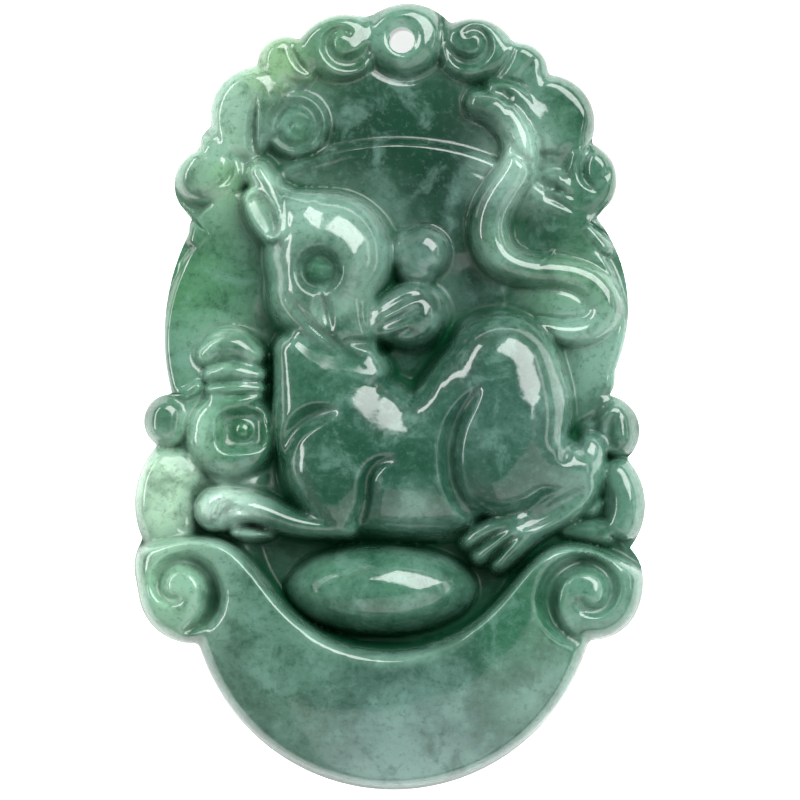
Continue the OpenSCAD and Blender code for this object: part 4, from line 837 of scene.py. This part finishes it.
def paint(mesh):
    """Broad tints, some of them painted shade, and painted shade on the mirror, on the points of
    the mesh.
    """
    co = np.empty(len(mesh.vertices) * 3, np.float32)
    mesh.vertices.foreach_get("co", co)
    x = co[0::3] * 100000 / PENDANT_W
    y = co[1::3] * 100000 / PENDANT_H

    def spread(spot_x, spot_y, r):
        return ((x - spot_x) ** 2 + ((y - spot_y) * TALL) ** 2) / r ** 2

    total = np.full((len(x), 3), linear(*STONE)) * STONE_WEIGHT
    weight = np.full(len(x), STONE_WEIGHT)
    for _, spot_x, spot_y, r, strength, rgb in TINTS:
        w = strength * np.exp(-spread(spot_x, spot_y, r))
        total += w[:, None] * np.array(linear(*rgb))
        weight += w
    colour = np.ones((len(x), 4), np.float32)
    colour[:, :3] = total / weight[:, None]
    layer = mesh.color_attributes.new("stone", "FLOAT_COLOR", "POINT")
    layer.data.foreach_set("color", colour.ravel())
    # Painted shade on the reflections: the share of the mirror left at each point
    painted_mirror_share = np.ones(len(x), np.float32)
    for _, spot_x, spot_y, r, loss in REFLECTION_SHADE_SPOTS:
        painted_mirror_share *= 1 - loss * np.exp(-spread(spot_x, spot_y, r) ** 2)
    mesh.attributes.new("painted_mirror_share", "FLOAT", "POINT").data.foreach_set("value", painted_mirror_share)


class Nodes:
    """Short hand for making and linking shader nodes."""

    def __init__(self, owner):
        self.tree = owner.node_tree

    def add(self, kind, inputs=None, **settings):
        node = self.tree.nodes.new(kind)
        for key, value in settings.items():
            setattr(node, key, value)
        for key, value in (inputs or {}).items():
            if isinstance(value, bpy.types.NodeSocket):
                self.tree.links.new(value, node.inputs[key])
            else:
                node.inputs[key].default_value = value
        return node

    def math(self, operation, a, b, clamp=False):
        node = self.add("ShaderNodeMath", {0: a, 1: b}, operation=operation, use_clamp=clamp)
        return node.outputs[0]

    def step(self, value, low, high, to_low, to_high):
        node = self.add("ShaderNodeMapRange", {"Value": value, "From Min": low, "From Max": high,
                                               "To Min": to_low, "To Max": to_high},
                        interpolation_type="SMOOTHSTEP")
        return node.outputs["Result"]

    def mix(self, factor, a, b):
        return self.add("ShaderNodeMix", {0: factor, 6: a, 7: b}, data_type="RGBA").outputs[2]

    def noise(self, vector, scale, detail, distortion, roughness):
        node = self.add("ShaderNodeTexNoise", {"Vector": vector, "Scale": scale, "Detail": detail,
                                               "Distortion": distortion, "Roughness": roughness})
        return node.outputs["Fac"]

    def attribute(self, name, output="Fac"):
        return self.add("ShaderNodeAttribute", attribute_name=name).outputs[output]


def jade_material():
    material = bpy.data.materials.new("polished_jade")
    material.use_nodes = True
    material.node_tree.nodes.clear()
    n = Nodes(material)
    where = n.add("ShaderNodeTexCoord").outputs["Object"]
    mm = n.add("ShaderNodeVectorMath", {0: where, 3: 1000.0}, operation="SCALE").outputs[0]
    noises = {name: n.noise(mm, *numbers) for name, numbers in NOISES.items()}
    fine, broad = n.attribute("hollow_fine"), n.attribute("hollow_broad")
    # Pale milky clouds and dark green ones in the stone
    colour = n.attribute("stone", "Color")
    for noise, start, full, strength, tone in CLOUDS:
        colour = n.mix(n.step(noises[noise], start, full, 0, strength), colour, rgba(*tone))
    # Painted shade darkens the deep hollows and painted light makes thin raised edges pale
    deep = n.math("ADD", n.step(fine, *SHADE_BY_FINE), n.step(broad, *SHADE_BY_BROAD), True)
    colour = n.mix(deep, colour, rgba(*PAINTED_HOLLOW_SHADE))
    colour = n.mix(n.step(fine, *RIDGE_LIGHT_BY_FINE), colour, rgba(*PAINTED_RIDGE_LIGHT))
    # The polish gets duller in the grooves, and painted shade cuts the mirror in the deep hollows
    # and at the listed spots
    grain = noises["grain"]
    rough = n.math("ADD", n.step(grain, *ROUGH_BY_GRAIN), n.step(fine, *ROUGH_BY_FINE))
    mirror = n.math("MULTIPLY", n.step(broad, *REFLECTION_SHADE_BY_BROAD), n.attribute("painted_mirror_share"))
    ripple = n.math("ADD", noises["waves"], n.math("MULTIPLY", grain, RIPPLE_GRAIN))
    bump = n.add("ShaderNodeBump", {"Height": ripple, **RIPPLES}).outputs[0]
    shader = n.add("ShaderNodeBsdfPrincipled", {
        "Base Color": colour, "Roughness": rough, "Specular IOR Level": mirror, "Normal": bump,
        **SHADER})
    n.add("ShaderNodeOutputMaterial", {"Surface": shader.outputs[0]})
    return material


mesh = pendant_mesh()
paint(mesh)
carving = bpy.data.objects.new("jade_carving", mesh)
bpy.context.scene.collection.objects.link(carving)
mesh.materials.append(jade_material())
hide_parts("jade_pendant")
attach(carving, "root")


# Floor, light and camera

floor_mesh = bpy.data.meshes.new("floor")
corners = [(x * FLOOR_HALF, y * FLOOR_HALF, 0) for x, y in ((-1, -1), (1, -1), (1, 1), (-1, 1))]
floor_mesh.from_pydata(corners, [], [(0, 1, 2, 3)])
floor = bpy.data.objects.new("floor", floor_mesh)
floor.location.z = -FLOOR_DROP
bpy.context.scene.collection.objects.link(floor)
pale_floor = bpy.data.materials.new("pale_floor")
pale_floor.use_nodes = True
floor_shader = pale_floor.node_tree.nodes["Principled BSDF"]
floor_shader.inputs["Base Color"].default_value = rgba(*FLOOR)
floor_shader.inputs["Roughness"].default_value = FLOOR_ROUGHNESS
floor_shader.inputs["Emission Color"].default_value = (1, 1, 1, 1)
floor_shader.inputs["Emission Strength"].default_value = FLOOR_GLOW
floor_mesh.materials.append(pale_floor)


def facing(back, up):
    """Rotation of a lamp or camera that looks away from back with up upwards."""
    side = up.cross(back).normalized()
    return Matrix((side, back.cross(side), back)).transposed().to_quaternion()


def softbox(name, azimuth, elevation, distance, width, height, power):
    """A rectangular light, azimuth anticlockwise from +X, that looks at the pendant."""
    data = bpy.data.lights.new(name, "AREA")
    data.shape = "RECTANGLE"
    data.size, data.size_y, data.energy = width, height, power
    lamp = bpy.data.objects.new(name, data)
    a, e = math.radians(azimuth), math.radians(elevation)
    towards = Vector((math.cos(a) * math.cos(e), math.sin(a) * math.cos(e), math.sin(e)))
    lamp.location = towards * distance
    lamp.rotation_mode = "QUATERNION"
    lamp.rotation_quaternion = facing(towards, Vector((0, 0, 1)))
    bpy.context.scene.collection.objects.link(lamp)


for row in LIGHTS:
    softbox(*row)

# The ceiling is darker than the walls of the studio
world = bpy.data.worlds.new("studio")
world.use_nodes = True
background = world.node_tree.nodes["Background"]
background.inputs["Color"].default_value = (1, 1, 1, 1)
n = Nodes(world)
direction = n.add("ShaderNodeTexCoord").outputs["Generated"]
height = n.add("ShaderNodeSeparateXYZ", {0: direction}).outputs["Z"]
world.node_tree.links.new(n.step(height, *CEILING, *WORLD), background.inputs["Strength"])
bpy.context.scene.world = world
bpy.context.scene.view_settings.view_transform = "Standard"

camera_data = bpy.data.cameras.new("camera")
camera_data.lens, camera_data.sensor_width = LENS, SENSOR
camera_data.clip_start, camera_data.clip_end = CLIP
camera = bpy.data.objects.new("camera", camera_data)
bpy.context.scene.collection.objects.link(camera)
bpy.context.scene.camera = camera
away = Vector((math.sin(math.radians(CAMERA_LEAN)), 0, 1)).normalized()
camera.location = Vector(CAMERA_AIM) / 1000 + away * LENS / SENSOR * VIEW_W
camera.rotation_mode = "QUATERNION"
camera.rotation_quaternion = facing(away, Vector((0, 1, 0)))
